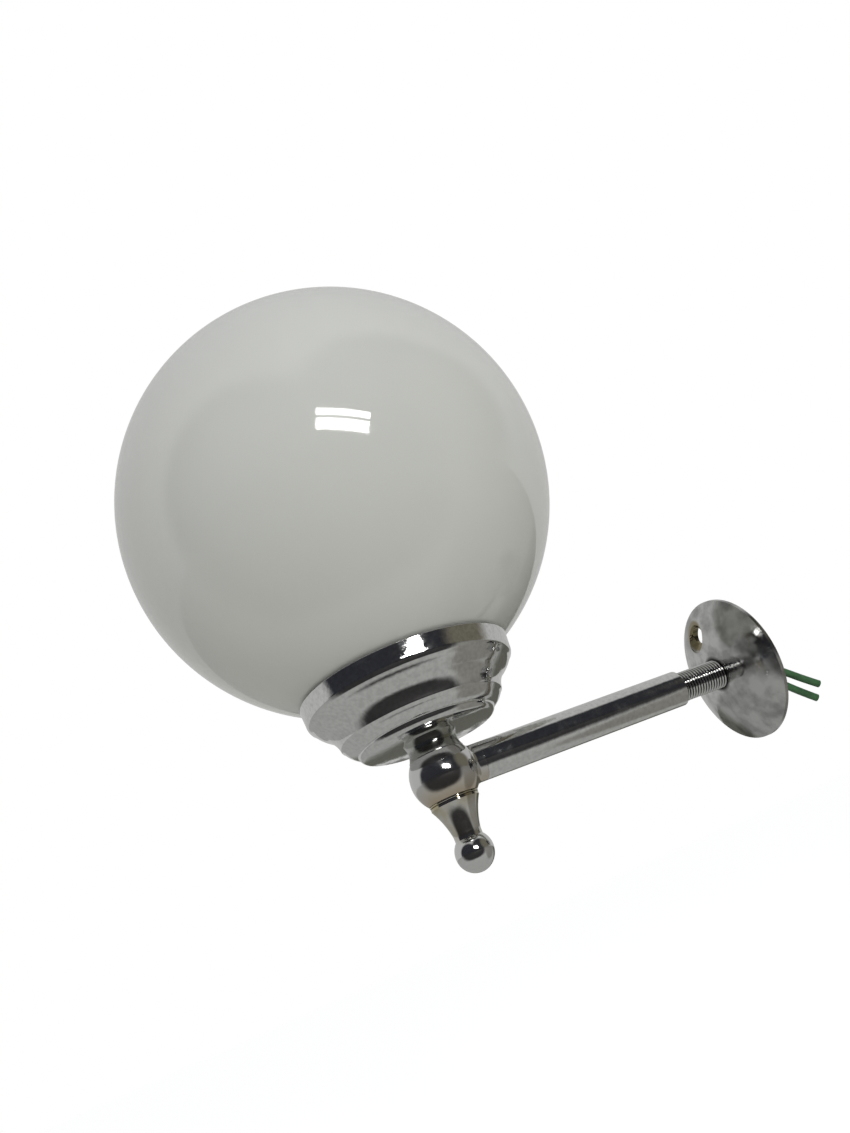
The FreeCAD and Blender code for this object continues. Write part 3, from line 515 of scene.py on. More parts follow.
class Finish:
    """A material made of one Principled shader and procedural textures."""

    def __init__(self, name, colour, **settings):
        self.material = bpy.data.materials.new(name)
        self.material.use_nodes = True
        self.tree = self.material.node_tree
        self.nodes = self.tree.nodes
        self.shader = self.nodes["Principled BSDF"]
        self.shader.inputs["Base Color"].default_value = (*colour, 1.0)
        for key, setting in settings.items():
            self.shader.inputs[key.replace("_", " ")].default_value = setting
        self.place = self.nodes.new("ShaderNodeTexCoord").outputs["Object"]

    def noise(self, scale, detail=4.0, stretch=None):
        """A noise value over the piece, at a scale in cells per metre."""
        place = self.place
        if stretch:
            mapping = self.nodes.new("ShaderNodeMapping")
            mapping.inputs["Scale"].default_value = stretch
            self.tree.links.new(place, mapping.inputs["Vector"])
            place = mapping.outputs[0]
        texture = self.nodes.new("ShaderNodeTexNoise")
        texture.inputs["Scale"].default_value = scale
        texture.inputs["Detail"].default_value = detail
        self.tree.links.new(place, texture.inputs["Vector"])
        return texture.outputs["Fac"]

    def between(self, source, low, high, start=EVEN[0], end=EVEN[1]):
        """Maps a value from one range to another."""
        node = self.nodes.new("ShaderNodeMapRange")
        node.inputs["From Min"].default_value = start
        node.inputs["From Max"].default_value = end
        node.inputs["To Min"].default_value = low
        node.inputs["To Max"].default_value = high
        self.tree.links.new(source, node.inputs["Value"])
        return node.outputs[0]

    def along(self, direction):
        """How far a point of the piece lies along a direction, in metres."""
        node = self.nodes.new("ShaderNodeVectorMath")
        node.operation = "DOT_PRODUCT"
        node.inputs[1].default_value = direction
        self.tree.links.new(self.place, node.inputs[0])
        return node.outputs["Value"]

    def times(self, first, second):
        """The product of two values."""
        node = self.nodes.new("ShaderNodeMath")
        node.operation = "MULTIPLY"
        self.tree.links.new(first, node.inputs[0])
        self.tree.links.new(second, node.inputs[1])
        return node.outputs[0]

    def off_axis(self, place):
        """How far a point of the piece lies from an axis along Y through (x, z), in metres."""
        flat = self.nodes.new("ShaderNodeVectorMath")
        flat.operation = "MULTIPLY"
        flat.inputs[1].default_value = (1, 0, 1)
        self.tree.links.new(self.place, flat.inputs[0])
        away = self.nodes.new("ShaderNodeVectorMath")
        away.operation = "DISTANCE"
        away.inputs[1].default_value = (place[0], 0, place[1])
        self.tree.links.new(flat.outputs[0], away.inputs[0])
        return away.outputs["Value"]

    def blend(self, source, first, second):
        """Two colours blended by a value; the first may be a blend itself."""
        node = self.nodes.new("ShaderNodeMix")
        node.data_type = "RGBA"
        if isinstance(first, bpy.types.NodeSocket):
            self.tree.links.new(first, node.inputs[FIRST_COLOUR])
        else:
            node.inputs[FIRST_COLOUR].default_value = (*first, 1.0)
        node.inputs[SECOND_COLOUR].default_value = (*second, 1.0)
        self.tree.links.new(source, node.inputs["Factor"])
        return node.outputs[MIXED_COLOUR]

    def mottle(self, source, first, second):
        """Blends two colours by a value, on the base colour."""
        self.tree.links.new(self.blend(source, first, second), self.shader.inputs["Base Color"])

    def uneven(self, rough, rough_grain, raised, bump_grain, rough_range=EVEN):
        """Makes the roughness uneven and raises the surface by fine bumps."""
        source = self.between(self.noise(*rough_grain), *rough, *rough_range)
        self.tree.links.new(source, self.shader.inputs["Roughness"])
        bump = self.nodes.new("ShaderNodeBump")
        bump.inputs["Distance"].default_value = raised
        bump.inputs["Strength"].default_value = 1.0
        self.tree.links.new(self.noise(*bump_grain), bump.inputs["Height"])
        self.tree.links.new(bump.outputs[0], self.shader.inputs["Normal"])
        return self

    def grained(self, tones, tone_grain, tone_range=EVEN, **unevenness):
        """Mottles two tones by a grain, and makes the surface uneven."""
        self.mottle(self.between(self.noise(*tone_grain), 0, 1, *tone_range), *tones)
        return self.uneven(**unevenness)


def shade(colour, factor):
    """A colour made lighter or darker."""
    return tuple(min(1.0, part * factor) for part in colour)


def dull_chrome(colours):
    """The collar's chrome, darker, greyer and rougher than the other chrome."""
    return Finish("Dull chrome", shade(colours.chrome, 0.7), Metallic=1.0).grained(
        tones=(shade(colours.chrome, 0.74), (0.36, 0.37, 0.33)),
        tone_grain=(160, 8.0), tone_range=(0.40, 0.66),
        rough=(0.10, 0.26), rough_grain=(240, 9.0), rough_range=(0.42, 0.72),
        raised=0.00002, bump_grain=(420, 5.0),
    )


def spun_chrome(colours):
    """The cup's and the tube's chrome, over metal with a fine grain."""
    return Finish("Spun chrome", colours.chrome, Metallic=1.0).grained(
        tones=(shade(colours.chrome, 1.02), shade(colours.chrome, 0.86)),
        tone_grain=(800, 9.0), tone_range=(0.40, 0.66),
        rough=(0.04, 0.17), rough_grain=(240, 9.0), rough_range=(0.42, 0.72),
        raised=0.00006, bump_grain=(260, 5.0),
    )


def ball_chrome(colours):
    """The elbow ball's chrome, warm and patchy on its low side."""
    made = Finish("Ball chrome", colours.chrome, Metallic=1.0)
    low_side = made.between(made.along((0, 0, -1)), 0, 1, 0.0015, 0.0075)
    patches = made.between(made.noise(90, 5.0), 0.7, 1.0)
    made.mottle(made.times(low_side, patches), shade(colours.chrome, 0.93), (0.50, 0.41, 0.29))
    return made.uneven(
        rough=(0.06, 0.19), rough_grain=(220, 9.0), rough_range=(0.40, 0.72),
        raised=0.000012, bump_grain=(900, 3.0),
    )


# The plate's screw hole: the place of its axis across the plate and up it, in metres.
SCREW_PLACE = (-0.00427, 0.01594)


def worn_and_shaded_chrome(colours):
    """The plate's worn chrome: bare in the countersink, with a ring of painted shade round the rod."""
    made = Finish("Worn chrome", shade(colours.chrome, 0.8), Metallic=1.0)
    plated = made.blend(
        made.between(made.noise(150, 9.0), 0, 1, 0.42, 0.64),
        shade(colours.chrome, 0.82), shade(colours.chrome, 0.46),
    )
    countersink = made.between(made.off_axis(SCREW_PLACE), 1, 0, 0.0050, 0.0060)
    bare = made.blend(countersink, plated, (0.27, 0.23, 0.145))
    # Painted shade: a near-black ring round the rod, where the gap between the rod and the plate's hole
    # falls in shade.
    gap_shade = made.between(made.off_axis((0, 0)), 1, 0, 0.0054, 0.0066)
    made.mottle(gap_shade, bare, (0.03, 0.03, 0.028))
    return made.uneven(
        rough=(0.10, 0.26), rough_grain=(260, 9.0), rough_range=(0.42, 0.72),
        raised=0.00002, bump_grain=(420, 6.0),
    )


def rubbed_chrome(colours):
    """The finial's chrome, rubbed through to a warmer metal above its small ball."""
    made = Finish("Rubbed chrome", shade(colours.chrome, 0.9), Metallic=1.0)
    above_ball = made.between(
        made.along((0, 0, 1)), 0, 1, (FINIAL_LOW.z + 9) * MM, (FINIAL_LOW.z + 13) * MM,
    )
    patches = made.between(made.noise(75, 8.0), 0, 1, 0.36, 0.60)
    made.mottle(made.times(above_ball, patches), shade(colours.chrome, 0.98), (0.47, 0.42, 0.28))
    return made.uneven(
        rough=(0.06, 0.20), rough_grain=(220, 9.0), rough_range=(0.42, 0.72),
        raised=0.000014, bump_grain=(500, 5.0),
    )


def opal_glass(colours):
    """The globe's opal glass: milky inside, glossy outside."""
    return Finish(
        "Opal glass", colours.opal, IOR=1.5,
        Subsurface_Weight=0.2, Subsurface_Radius=(0.006, 0.006, 0.0055),
        Subsurface_Scale=1.0, Coat_Weight=0.5, Coat_Roughness=0.02,
    ).grained(
        tones=(colours.opal, shade(colours.opal, 0.965)), tone_grain=(14, 2.0),
        rough=(0.03, 0.08), rough_grain=(90, 6.0), rough_range=(0.40, 0.75),
        raised=0.00006, bump_grain=(24, 1.0),
    )


def plated_thread(colours):
    """The rod's plated thread, with painted shade darkening its roots."""
    made = Finish("Plated thread", shade(colours.chrome, 0.9), Metallic=1.0)
    plated = made.blend(
        made.between(made.noise(90, 5.0), 0, 1), colours.chrome, shade(colours.chrome, 0.84),
    )
    crest = ROD_HIGH.x * MM
    # Painted shade: the thread's roots, nearer the axis than the crests, are painted near black where
    # shade falls between the crests.
    shaded_roots = made.between(made.off_axis((0, 0)), 1, 0, crest - 0.00046, crest - 0.00014)
    made.mottle(shaded_roots, plated, (0.05, 0.05, 0.048))
    return made.uneven(
        rough=(0.07, 0.16), rough_grain=(160, 4.0), raised=0.000004, bump_grain=(300, 2.0),
    )


def zinc_plate(colours):
    """The zinc of nuts, washers, grub screw and springs."""
    return Finish("Zinc plate", (0.50, 0.52, 0.54), Metallic=1.0).grained(
        tones=((0.55, 0.56, 0.56), (0.42, 0.45, 0.50)), tone_grain=(220,),
        rough=(0.24, 0.42), rough_grain=(500,), raised=0.00001, bump_grain=(1800,),
    )


def turned_aluminium(colours):
    """The thread ring's aluminium, with the fine rings of the lathe."""
    return Finish("Turned aluminium", (0.62, 0.63, 0.64), Metallic=1.0).grained(
        tones=((0.66, 0.67, 0.68), (0.54, 0.55, 0.56)), tone_grain=(90,),
        rough=(0.22, 0.40), rough_grain=(60, 6.0, (1, 1, 40)),
        raised=0.00002, bump_grain=(60, 2.0, (1, 1, 60)),
    )


def brass(colours):
    """The lamp holder's brass."""
    return Finish("Brass", colours.brass, Metallic=1.0).grained(
        tones=(colours.brass, shade(colours.brass, 0.72)), tone_grain=(150,),
        rough=(0.18, 0.38), rough_grain=(320, 6.0), raised=0.00001, bump_grain=(1500,),
    )


def dark_moulding(colours):
    """The terminal block's dark moulding."""
    return Finish("Dark moulding", (0.05, 0.028, 0.018)).grained(
        tones=((0.06, 0.032, 0.02), (0.02, 0.012, 0.01)), tone_grain=(180, 8.0),
        rough=(0.28, 0.45), rough_grain=(400,), raised=0.00002, bump_grain=(1200,),
    )


def soft_ring(colours):
    """The dark rubber of the ring under the glass."""
    return Finish("Soft ring", (0.025, 0.025, 0.026)).grained(
        tones=((0.028, 0.028, 0.03), (0.055, 0.053, 0.05)), tone_grain=(240,),
        rough=(0.60, 0.82), rough_grain=(500,), raised=0.00004, bump_grain=(1600,),
    )


def green_insulation(colours):
    """The wires' green insulation."""
    return Finish("Green insulation", colours.wire).grained(
        tones=(colours.wire, shade(colours.wire, 1.7)), tone_grain=(260, 5.0),
        rough=(0.28, 0.50), rough_grain=(600,), raised=0.00005, bump_grain=(900, 3.0),
    )


def cut_copper(colours):
    """The copper of the cut strands."""
    return Finish("Cut copper", (0.70, 0.44, 0.33), Metallic=1.0).grained(
        tones=((0.78, 0.52, 0.40), (0.50, 0.30, 0.21)), tone_grain=(2500,),
        rough=(0.25, 0.50), rough_grain=(3000,), raised=0.00001, bump_grain=(5000,),
    )


FINISHES = {}


def finished(maker):
    """The material of a finish, made the first time that a piece asks for it."""
    if maker not in FINISHES:
        FINISHES[maker] = maker(bpy.context.scene.wall_light_finishes).material
    return FINISHES[maker]


# Operators

# The width of the camera's sensor, in millimetres, and the nearest that it sees, in metres.
SENSOR_WIDTH = 36.0
NEAREST = 0.01


class PlaceCamera(Operator):
    """Place the camera where the light was looked at from"""

    bl_idname = "wall_light.camera"
    bl_label = "Place the Camera"

    def execute(self, context):
        studio = context.scene.wall_light_studio
        lens = bpy.data.cameras.new("Camera")
        lens.sensor_fit = "HORIZONTAL"
        lens.sensor_width = SENSOR_WIDTH
        lens.lens = studio.focal_length
        lens.clip_start = NEAREST
        camera = bpy.data.objects.new("Camera", lens)
        place = Vector(studio.camera_place)
        view = Vector(studio.camera_target) - place
        upright = view.to_track_quat("-Z", "Y").to_matrix()
        rolled = upright @ Matrix.Rotation(-studio.camera_roll, 3, "Z")
        camera.matrix_world = Matrix.Translation(place) @ rolled.to_4x4()
        context.scene.collection.objects.link(camera)
        context.scene.camera = camera
        return {"FINISHED"}


# Each wire's way behind the plate: distance into the wall and height, in millimetres.
UPPER_WAY = (
    (-1.0, 0), (1.6, 0), (6.0, -0.9), (11.0, -3.4), (17.0, -8.0), (22.2, -12.4), (26.6, -15.7),
)
LOWER_WAY = (
    (-1.0, 0), (1.2, 0), (5.2, -1.8), (10.2, -5.9), (15.9, -11.4), (20.8, -16.0), (25.1, -19.6),
)
WIRE_SIDE = 1.4

# The wire's core: its share of the diameter, how long its cut end is and how far it
# stands out of the insulation, in millimetres.
CORE_SHARE = 0.3
CORE_LENGTH = 2.0
CORE_PROUD = 0.05


def insulated_wire(name, points, diameter):
    """A round insulated wire along a smooth line between its points."""
    curve = bpy.data.curves.new(name, "CURVE")
    curve.dimensions = "3D"
    curve.bevel_depth = diameter / 2
    curve.bevel_resolution = 8
    curve.resolution_u = 16
    curve.use_fill_caps = True
    spline = curve.splines.new("NURBS")
    spline.points.add(len(points) - 1)
    for target, point in zip(spline.points, points):
        target.co = (*point, 1.0)
    spline.order_u = 3
    spline.use_endpoint_u = True
    wire = bpy.data.objects.new(name, curve)
    bpy.context.scene.collection.objects.link(wire)
    return wire


def cut_core(name, tree, points, sizes):
    """The strands that show at the wire's cut end."""
    core = grown(name, tree, {
        "Strands": sizes.strands,
        "Core Radius": sizes.wire_diameter * CORE_SHARE,
        "Length": CORE_LENGTH * MM,
        "Material": finished(cut_copper),
    })
    ahead = (points[-1] - points[-2]).normalized()
    turn = ahead.to_track_quat("Z", "X").to_matrix().to_4x4()
    middle = points[-1] - ahead * (CORE_LENGTH / 2 - CORE_PROUD) * MM
    core.data.transform(Matrix.Translation(middle) @ turn)
    return core


class MakeWires(Operator):
    """Lay the two insulated wires behind the plate, with their cut copper ends"""

    bl_idname = "wall_light.wires"
    bl_label = "Lay the Wires"

    def execute(self, context):
        sizes = context.scene.wall_light_sizes
        strands = strands_tree()
        for name, side, way in (("right", WIRE_SIDE, UPPER_WAY), ("left", -WIRE_SIDE, LOWER_WAY)):
            points = [Vector((side, along, height)) * MM for along, height in way]
            wire = insulated_wire(f"wire_end_{name}", points, sizes.wire_diameter)
            core = cut_core(f"wire_core_{name}", strands, points, sizes)
            settle(wire, "arm", "wire_green", finished(green_insulation), f"wire_tail_{name}")
            settle(core, "arm", "wire_green", finished(cut_copper))
        return {"FINISHED"}


# The step of the globe's round outline.
GLOBE_STEP = math.radians(1.6)


class MakeGlobe(Operator):
    """Blow the opal globe with its neck"""

    bl_idname = "wall_light.globe"
    bl_label = "Make the Globe"

    def execute(self, context):
        sizes = context.scene.wall_light_sizes
        glass = sizes.glass / MM
        neck = sizes.glass_neck / MM
        mouth = neck - glass
        inside = GLOBE_RADIUS - glass
        shoulder = GLOBE_CENTRE - math.sqrt(GLOBE_RADIUS ** 2 - neck ** 2)
        inner_shoulder = GLOBE_CENTRE - math.sqrt(inside ** 2 - mouth ** 2)
        outline = arc((neck, shoulder), (0, GLOBE_HIGH.z), GLOBE_RADIUS, 1, GLOBE_STEP)
        outline.append((0, GLOBE_HIGH.z))
        outline += arc(
            (0, GLOBE_CENTRE + inside), (mouth, inner_shoulder), inside, -1, GLOBE_STEP,
        )
        outline += [(mouth, inner_shoulder), (mouth, GLOBE_LOW.z), (neck, GLOBE_LOW.z)]
        globe = spun("opal_globe", outline, about_globe_axis, sizes.segments)
        settle(globe, "globe", "opal_glass", finished(opal_glass), "globe")
        return {"FINISHED"}


# The cup's sheet, the top of its rim and the hole in its floor, in millimetres.
CUP_SHEET = 0.9
CUP_RIM = 35.7
CUP_BORE = 5.0

# Corners sharper than this are rounded on the cup, in degrees.
CUP_SHARP = 24

# The steps of the cup's smallest arcs, long enough for the rounded corners beside them.
TIER_STEP = math.radians(8)
TIER_INSIDE_STEP = math.radians(15)


def cup_outline():
    """The cup's outline: outside from the rim down, then inside from the floor up."""
    floor = COLLAR_HIGH.z
    sheet_top = floor + CUP_SHEET
    outline = [(CUP_RIM, CUP_TOP)]
    outline += arc((35.2, 29.4), (34.6, 27.4), 3.2, -1)
    outline += [(34.6, 27.4)]
    outline += arc((34.1, 27.0), (30.2, 23.3), 12.0, -1)
    outline += arc((30.2, 23.3), (27.4, 18.1), 9.0, 1)
    outline += [(27.4, 18.1)]
    outline += arc((26.9, 17.7), (24.2, 14.9), 9.0, -1)
    outline += [(24.2, 14.9)]
    outline += arc((23.0, 14.5), (21.4, floor), 2.4, -1, TIER_STEP)
    outline += [(21.4, floor), (CUP_BORE, floor), (CUP_BORE, sheet_top)]
    outline += arc((21.1, sheet_top), (22.0, 15.1), 1.5, 1, TIER_INSIDE_STEP)
    outline += [(22.0, 15.1)]
    outline += arc((23.94, 15.76), (26.08, 18.29), 8.1, 1)
    outline += [(26.08, 18.29)]
    outline += arc((26.56, 18.69), (29.97, 24.2), 9.9, -1)
    outline += arc((29.97, 24.2), (33.2, 27.54), 11.1, 1)
    outline += [(33.2, 27.54)]
    outline += arc((33.7, 27.8), (34.3, 29.49), 2.3, 1)
    outline += [(34.3, 29.49), (CUP_RIM - CUP_SHEET, CUP_TOP)]
    return outline


class MakeCup(Operator):
    """Spin the stepped cup that carries the globe"""

    bl_idname = "wall_light.cup"
    bl_label = "Spin the Cup"

    def execute(self, context):
        sizes = context.scene.wall_light_sizes
        cup = spun("stepped_cup", cup_outline(), about_globe_axis, sizes.segments)
        rounded_edges(cup, sizes.edge, CUP_SHARP)
        settle(cup, "arm", "chrome", finished(spun_chrome), "gallery_cup")
        return {"FINISHED"}


# The waisted collar: its bore, the radius of its foot and top, the radius of the hollow
# between them and its broken edge, in millimetres.
COLLAR_BORE = 5.0
COLLAR_FOOT = 9.0
COLLAR_TOP = 8.9
COLLAR_HOLLOW = 5.6
COLLAR_EDGE = 0.15

# The thin washer's bore and broken edges.
WASHER_BORE = 4.05
WASHER_EDGE = 0.1
WASHER_FOOT_EDGE = 0.12

# The finial: its small ball, the waist above it, the hollow and shoulder of its cone and
# the screw on top.
SMALL_BALL = 6.05
FINIAL_WAIST = 4.4
FINIAL_WAIST_HEIGHT = -18.4
FINIAL_HOLLOW = 26.0
FINIAL_SHOULDER = 7.8
FINIAL_BAND = 0.9
FINIAL_EDGE = 0.2
FINIAL_SCREW = 4.0
FINIAL_SCREW_EDGE = 0.4
FINIAL_GAP = 0.05


def collar_outline():
    """The collar between ball and cup, hollow between foot and top."""
    low, high = COLLAR_LOW.z, COLLAR_HIGH.z
    outline = [(COLLAR_BORE, low), (COLLAR_FOOT - COLLAR_EDGE, low), (COLLAR_FOOT, low + COLLAR_EDGE)]
    outline += arc((COLLAR_FOOT, low + 0.25), (COLLAR_TOP, high), COLLAR_HOLLOW, -1)
    outline += [(COLLAR_TOP, high), (COLLAR_BORE, high)]
    return outline


def washer_outline():
    """The thin washer between ball and finial."""
    low, high, edge = WASHER_LOW.z, WASHER_HIGH.z, WASHER_HIGH.x
    return [
        (WASHER_BORE, low), (edge - WASHER_EDGE, low), (edge, low + WASHER_FOOT_EDGE),
        (edge, high - WASHER_FOOT_EDGE), (edge - WASHER_EDGE, high), (WASHER_BORE, high),
    ]


def finial_outline():
    """The finial from its lowest point up: small ball, hollow cone, shoulder and screw."""
    low, high = FINIAL_LOW.z, FINIAL_HIGH.z
    top = WASHER_LOW.z - FINIAL_GAP
    band = top - FINIAL_BAND
    meeting = low + SMALL_BALL + math.sqrt(SMALL_BALL ** 2 - FINIAL_WAIST ** 2)
    outline = arc((0, low), (FINIAL_WAIST, meeting), SMALL_BALL, 1, math.radians(4))
    outline += [(FINIAL_WAIST, meeting)]
    outline += arc(
        (FINIAL_WAIST, FINIAL_WAIST_HEIGHT), (FINIAL_SHOULDER, band), FINIAL_HOLLOW, -1,
        math.radians(1.5),
    )
    outline += [(FINIAL_SHOULDER, band), (FINIAL_SHOULDER, top - FINIAL_EDGE)]
    outline += [(FINIAL_SHOULDER - FINIAL_EDGE, top), (FINIAL_SCREW, top)]
    outline += [(FINIAL_SCREW, high - FINIAL_SCREW_EDGE), (FINIAL_SCREW - FINIAL_SCREW_EDGE, high)]
    outline += [(0, high)]
    return outline


class MakeElbow(Operator):
    """Turn the elbow ball, its collar, the thin washer and the finial"""

    bl_idname = "wall_light.elbow"
    bl_label = "Turn the Elbow"

    def execute(self, context):
        segments = context.scene.wall_light_sizes.segments
        ball = smooth_copy("elbow_ball", "ball_elbow")
        settle(ball, "arm", "chrome", finished(ball_chrome), "elbow_ball")
        collar = spun("flared_collar", collar_outline(), about_globe_axis, segments)
        settle(collar, "arm", "chrome", finished(dull_chrome), "neck_collar")
        washer = spun("thin_washer", washer_outline(), about_globe_axis, segments)
        settle(washer, "finial_carrier", "chrome", finished(rubbed_chrome), "finial_washer")
        finial = spun("turned_finial", finial_outline(), about_globe_axis, segments)
        settle(finial, "finial", "chrome", finished(rubbed_chrome), "finial")
        return {"FINISHED"}


# The tube's wall, the rod's bore, and how far the rod's core and the thread's inside lie
# under the thread's roots, in millimetres.
TUBE_WALL = 0.75
ROD_BORE = 3.5
CORE_SINK = 0.02
SLEEVE_SINK = 0.01

# How finely the thread is cut: steps round it and steps along each pitch.
THREAD_TURN_STEPS = 97
THREAD_PITCH_STEPS = 16
ROD_SEGMENTS = 96


class MakeArm(Operator):
    """Make the smooth tube, and the threaded rod inside it"""

    bl_idname = "wall_light.arm"
    bl_label = "Make the Arm"

    def execute(self, context):
        sizes = context.scene.wall_light_sizes
        near, far = -TUBE_HIGH.y, -TUBE_LOW.y
        outside = TUBE_HIGH.x
        inside = outside - TUBE_WALL
        outline = [(inside, near), (outside, near), (outside, far), (inside, far)]
        tube = spun("arm_sleeve", outline, about_arm_axis, sizes.segments)
        rounded_edges(tube, sizes.edge)
        settle(tube, "arm", "chrome", finished(spun_chrome), "arm_tube")

        near, far = -ROD_HIGH.y, -ROD_LOW.y
        crest = ROD_HIGH.x
        root = crest - sizes.thread_depth / MM
        core = root - CORE_SINK
        start = near + sizes.thread_length / MM
        outline = [
            (ROD_BORE, near), (core, near), (core, start), (crest, start), (crest, far), (ROD_BORE, far),
        ]
        rod = spun("rod_core", outline, about_arm_axis, ROD_SEGMENTS)
        settle(rod, "arm", "thread", finished(plated_thread), "threaded_rod")

        thread = grown("rod_thread", thread_tree(), {
            "Radius": crest * MM,
            "Depth": sizes.thread_depth,
            "Pitch": sizes.thread_pitch,
            "Length": sizes.thread_length,
            "Turn Steps": THREAD_TURN_STEPS,
            "Length Steps": int(sizes.thread_length / sizes.thread_pitch * THREAD_PITCH_STEPS) + 1,
            "Material": finished(plated_thread),
        })
        closed_sleeve(thread, (root - SLEEVE_SINK) * MM)
        outward = Matrix.Rotation(math.pi / 2, 4, "X")
        thread.data.transform(Matrix.Translation((0, -near * MM, 0)) @ outward)
        settle(thread, "arm", "thread", finished(plated_thread))
        return {"FINISHED"}


class MakePlate(Operator):
    """Press the domed wall plate with its screw hole"""

    bl_idname = "wall_light.plate"
    bl_label = "Press the Plate"

    def execute(self, context):
        plate = smooth_copy("wall_plate", "domed_plate")
        settle(plate, "base", "chrome", finished(worn_and_shaded_chrome), "wall_plate")
        return {"FINISHED"}


class MakeSprings(Operator):
    """Copy the two contact springs, smoothly shaded"""

    bl_idname = "wall_light.springs"
    bl_label = "Wind the Springs"

    def execute(self, context):
        for side in ("right", "left"):
            spring = smooth_copy(f"contact_spring_{side}", f"wound_spring_{side}")
            settle(spring, "arm", "zinc", finished(zinc_plate), f"contact_spring_{side}")
            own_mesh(spring)
        return {"FINISHED"}


HIDDEN_FINISHES = {
    zinc_plate: ("plate_nut", "cup_washer", "cup_nut", "grub_screw"),
    plated_thread: ("nipple",),
    turned_aluminium: ("thread_ring",),
    soft_ring: ("seat_ring",),
    brass: (
        "holder_cap", "terminal_screws", "contact_tubes", "bayonet_barrel", "clamp_ring",
        "contact_plunger_right", "contact_plunger_left",
    ),
    dark_moulding: ("terminal_block",),
    green_insulation: ("wire_right", "wire_left"),
}


class FinishInside(Operator):
    """Give the pieces inside the cup and globe their finishes"""

    bl_idname = "wall_light.inside"
    bl_label = "Finish the Inside"

    def execute(self, context):
        for maker, nodes in HIDDEN_FINISHES.items():
            for node in nodes:
                finish_node(node, finished(maker))
        return {"FINISHED"}


# The room's colours: its light, the walls that shiny pieces mirror, and what the camera
# sees behind the light.
ROOM_LIGHT = (0.99, 0.995, 1.0)
ROOM_GREY = (0.54, 0.54, 0.53)
BACKDROP = (1.0, 1.0, 1.0)

# The dark side of the mirrored room: azimuth, height, full and outer width, in degrees.
ROOM_TONES = (
    (-48, 0, 44, 56, (0.030, 0.031, 0.038)),
    (30, 6, 42, 54, (0.030, 0.031, 0.036)),
    (64, 16, 14, 32, (0.165, 0.155, 0.120)),
)


def mirrored_room(nodes, links):
    """The room that shiny pieces mirror: grey, with soft round patches of its tones."""
    place = nodes.new("ShaderNodeTexCoord").outputs["Generated"]
    tone = None
    for azimuth, height, inner, outer, colour in ROOM_TONES:
        azimuth, height = math.radians(azimuth), math.radians(height)
        facing = nodes.new("ShaderNodeVectorMath")
        facing.operation = "DOT_PRODUCT"
        facing.inputs[1].default_value = (
            math.cos(azimuth) * math.cos(height),
            math.sin(azimuth) * math.cos(height),
            math.sin(height),
        )
        links.new(place, facing.inputs[0])
        patch = nodes.new("ShaderNodeMapRange")
        patch.interpolation_type = "SMOOTHSTEP"
        patch.inputs["From Min"].default_value = math.cos(math.radians(outer))
        patch.inputs["From Max"].default_value = math.cos(math.radians(inner))
        links.new(facing.outputs["Value"], patch.inputs["Value"])
        blend = nodes.new("ShaderNodeMix")
        blend.data_type = "RGBA"
        blend.inputs[FIRST_COLOUR].default_value = (*ROOM_GREY, 1.0)
        blend.inputs[SECOND_COLOUR].default_value = (*colour, 1.0)
        links.new(patch.outputs[0], blend.inputs["Factor"])
        if tone:
            links.new(tone, blend.inputs[FIRST_COLOUR])
        tone = blend.outputs[MIXED_COLOUR]
    room = nodes.new("ShaderNodeBackground")
    room.inputs["Strength"].default_value = 1.0
    links.new(tone, room.inputs["Color"])
    return room


def background(nodes, colour, strength):
    """A plain background of one colour."""
    plain = nodes.new("ShaderNodeBackground")
    plain.inputs["Color"].default_value = (*colour, 1.0)
    plain.inputs["Strength"].default_value = strength
    return plain


def soft_room(strength):
    """The world: a soft light, white to the camera, and a grey room to what shines."""
    world = bpy.data.worlds.new("Soft room")
    world.use_nodes = True
    nodes, links = world.node_tree.nodes, world.node_tree.links
    nodes.remove(nodes["Background"])
    light = background(nodes, ROOM_LIGHT, strength)
    backdrop = background(nodes, BACKDROP, 1.0)
    room = mirrored_room(nodes, links)

    rays = nodes.new("ShaderNodeLightPath")
    for_shine = nodes.new("ShaderNodeMixShader")
    links.new(rays.outputs["Is Glossy Ray"], for_shine.inputs[0])
    links.new(light.outputs[0], for_shine.inputs[1])
    links.new(room.outputs[0], for_shine.inputs[2])
    seen = nodes.new("ShaderNodeMath")
    seen.operation = "MAXIMUM"
    links.new(rays.outputs["Is Camera Ray"], seen.inputs[0])
    links.new(rays.outputs["Is Transmission Ray"], seen.inputs[1])
    for_camera = nodes.new("ShaderNodeMixShader")
    links.new(seen.outputs[0], for_camera.inputs[0])
    links.new(for_shine.outputs[0], for_camera.inputs[1])
    links.new(backdrop.outputs[0], for_camera.inputs[2])
    links.new(for_camera.outputs[0], nodes["World Output"].inputs["Surface"])
    return world


# The floor: its half width in metres, its colour under the pieces and to the camera, and
# how much it glows to the camera.
FLOOR_HALF = 6.0
FLOOR_BOUNCE = (0.76, 0.75, 0.69)
FLOOR_SEEN = (0.93, 0.93, 0.93)
FLOOR_GLOW = 0.42


def matt_material(name):
    """A material without any shine, and its shader."""
    material = bpy.data.materials.new(name)
    material.use_nodes = True
    shader = material.node_tree.nodes["Principled BSDF"]
    shader.inputs["Specular IOR Level"].default_value = 0.0
    return material, shader


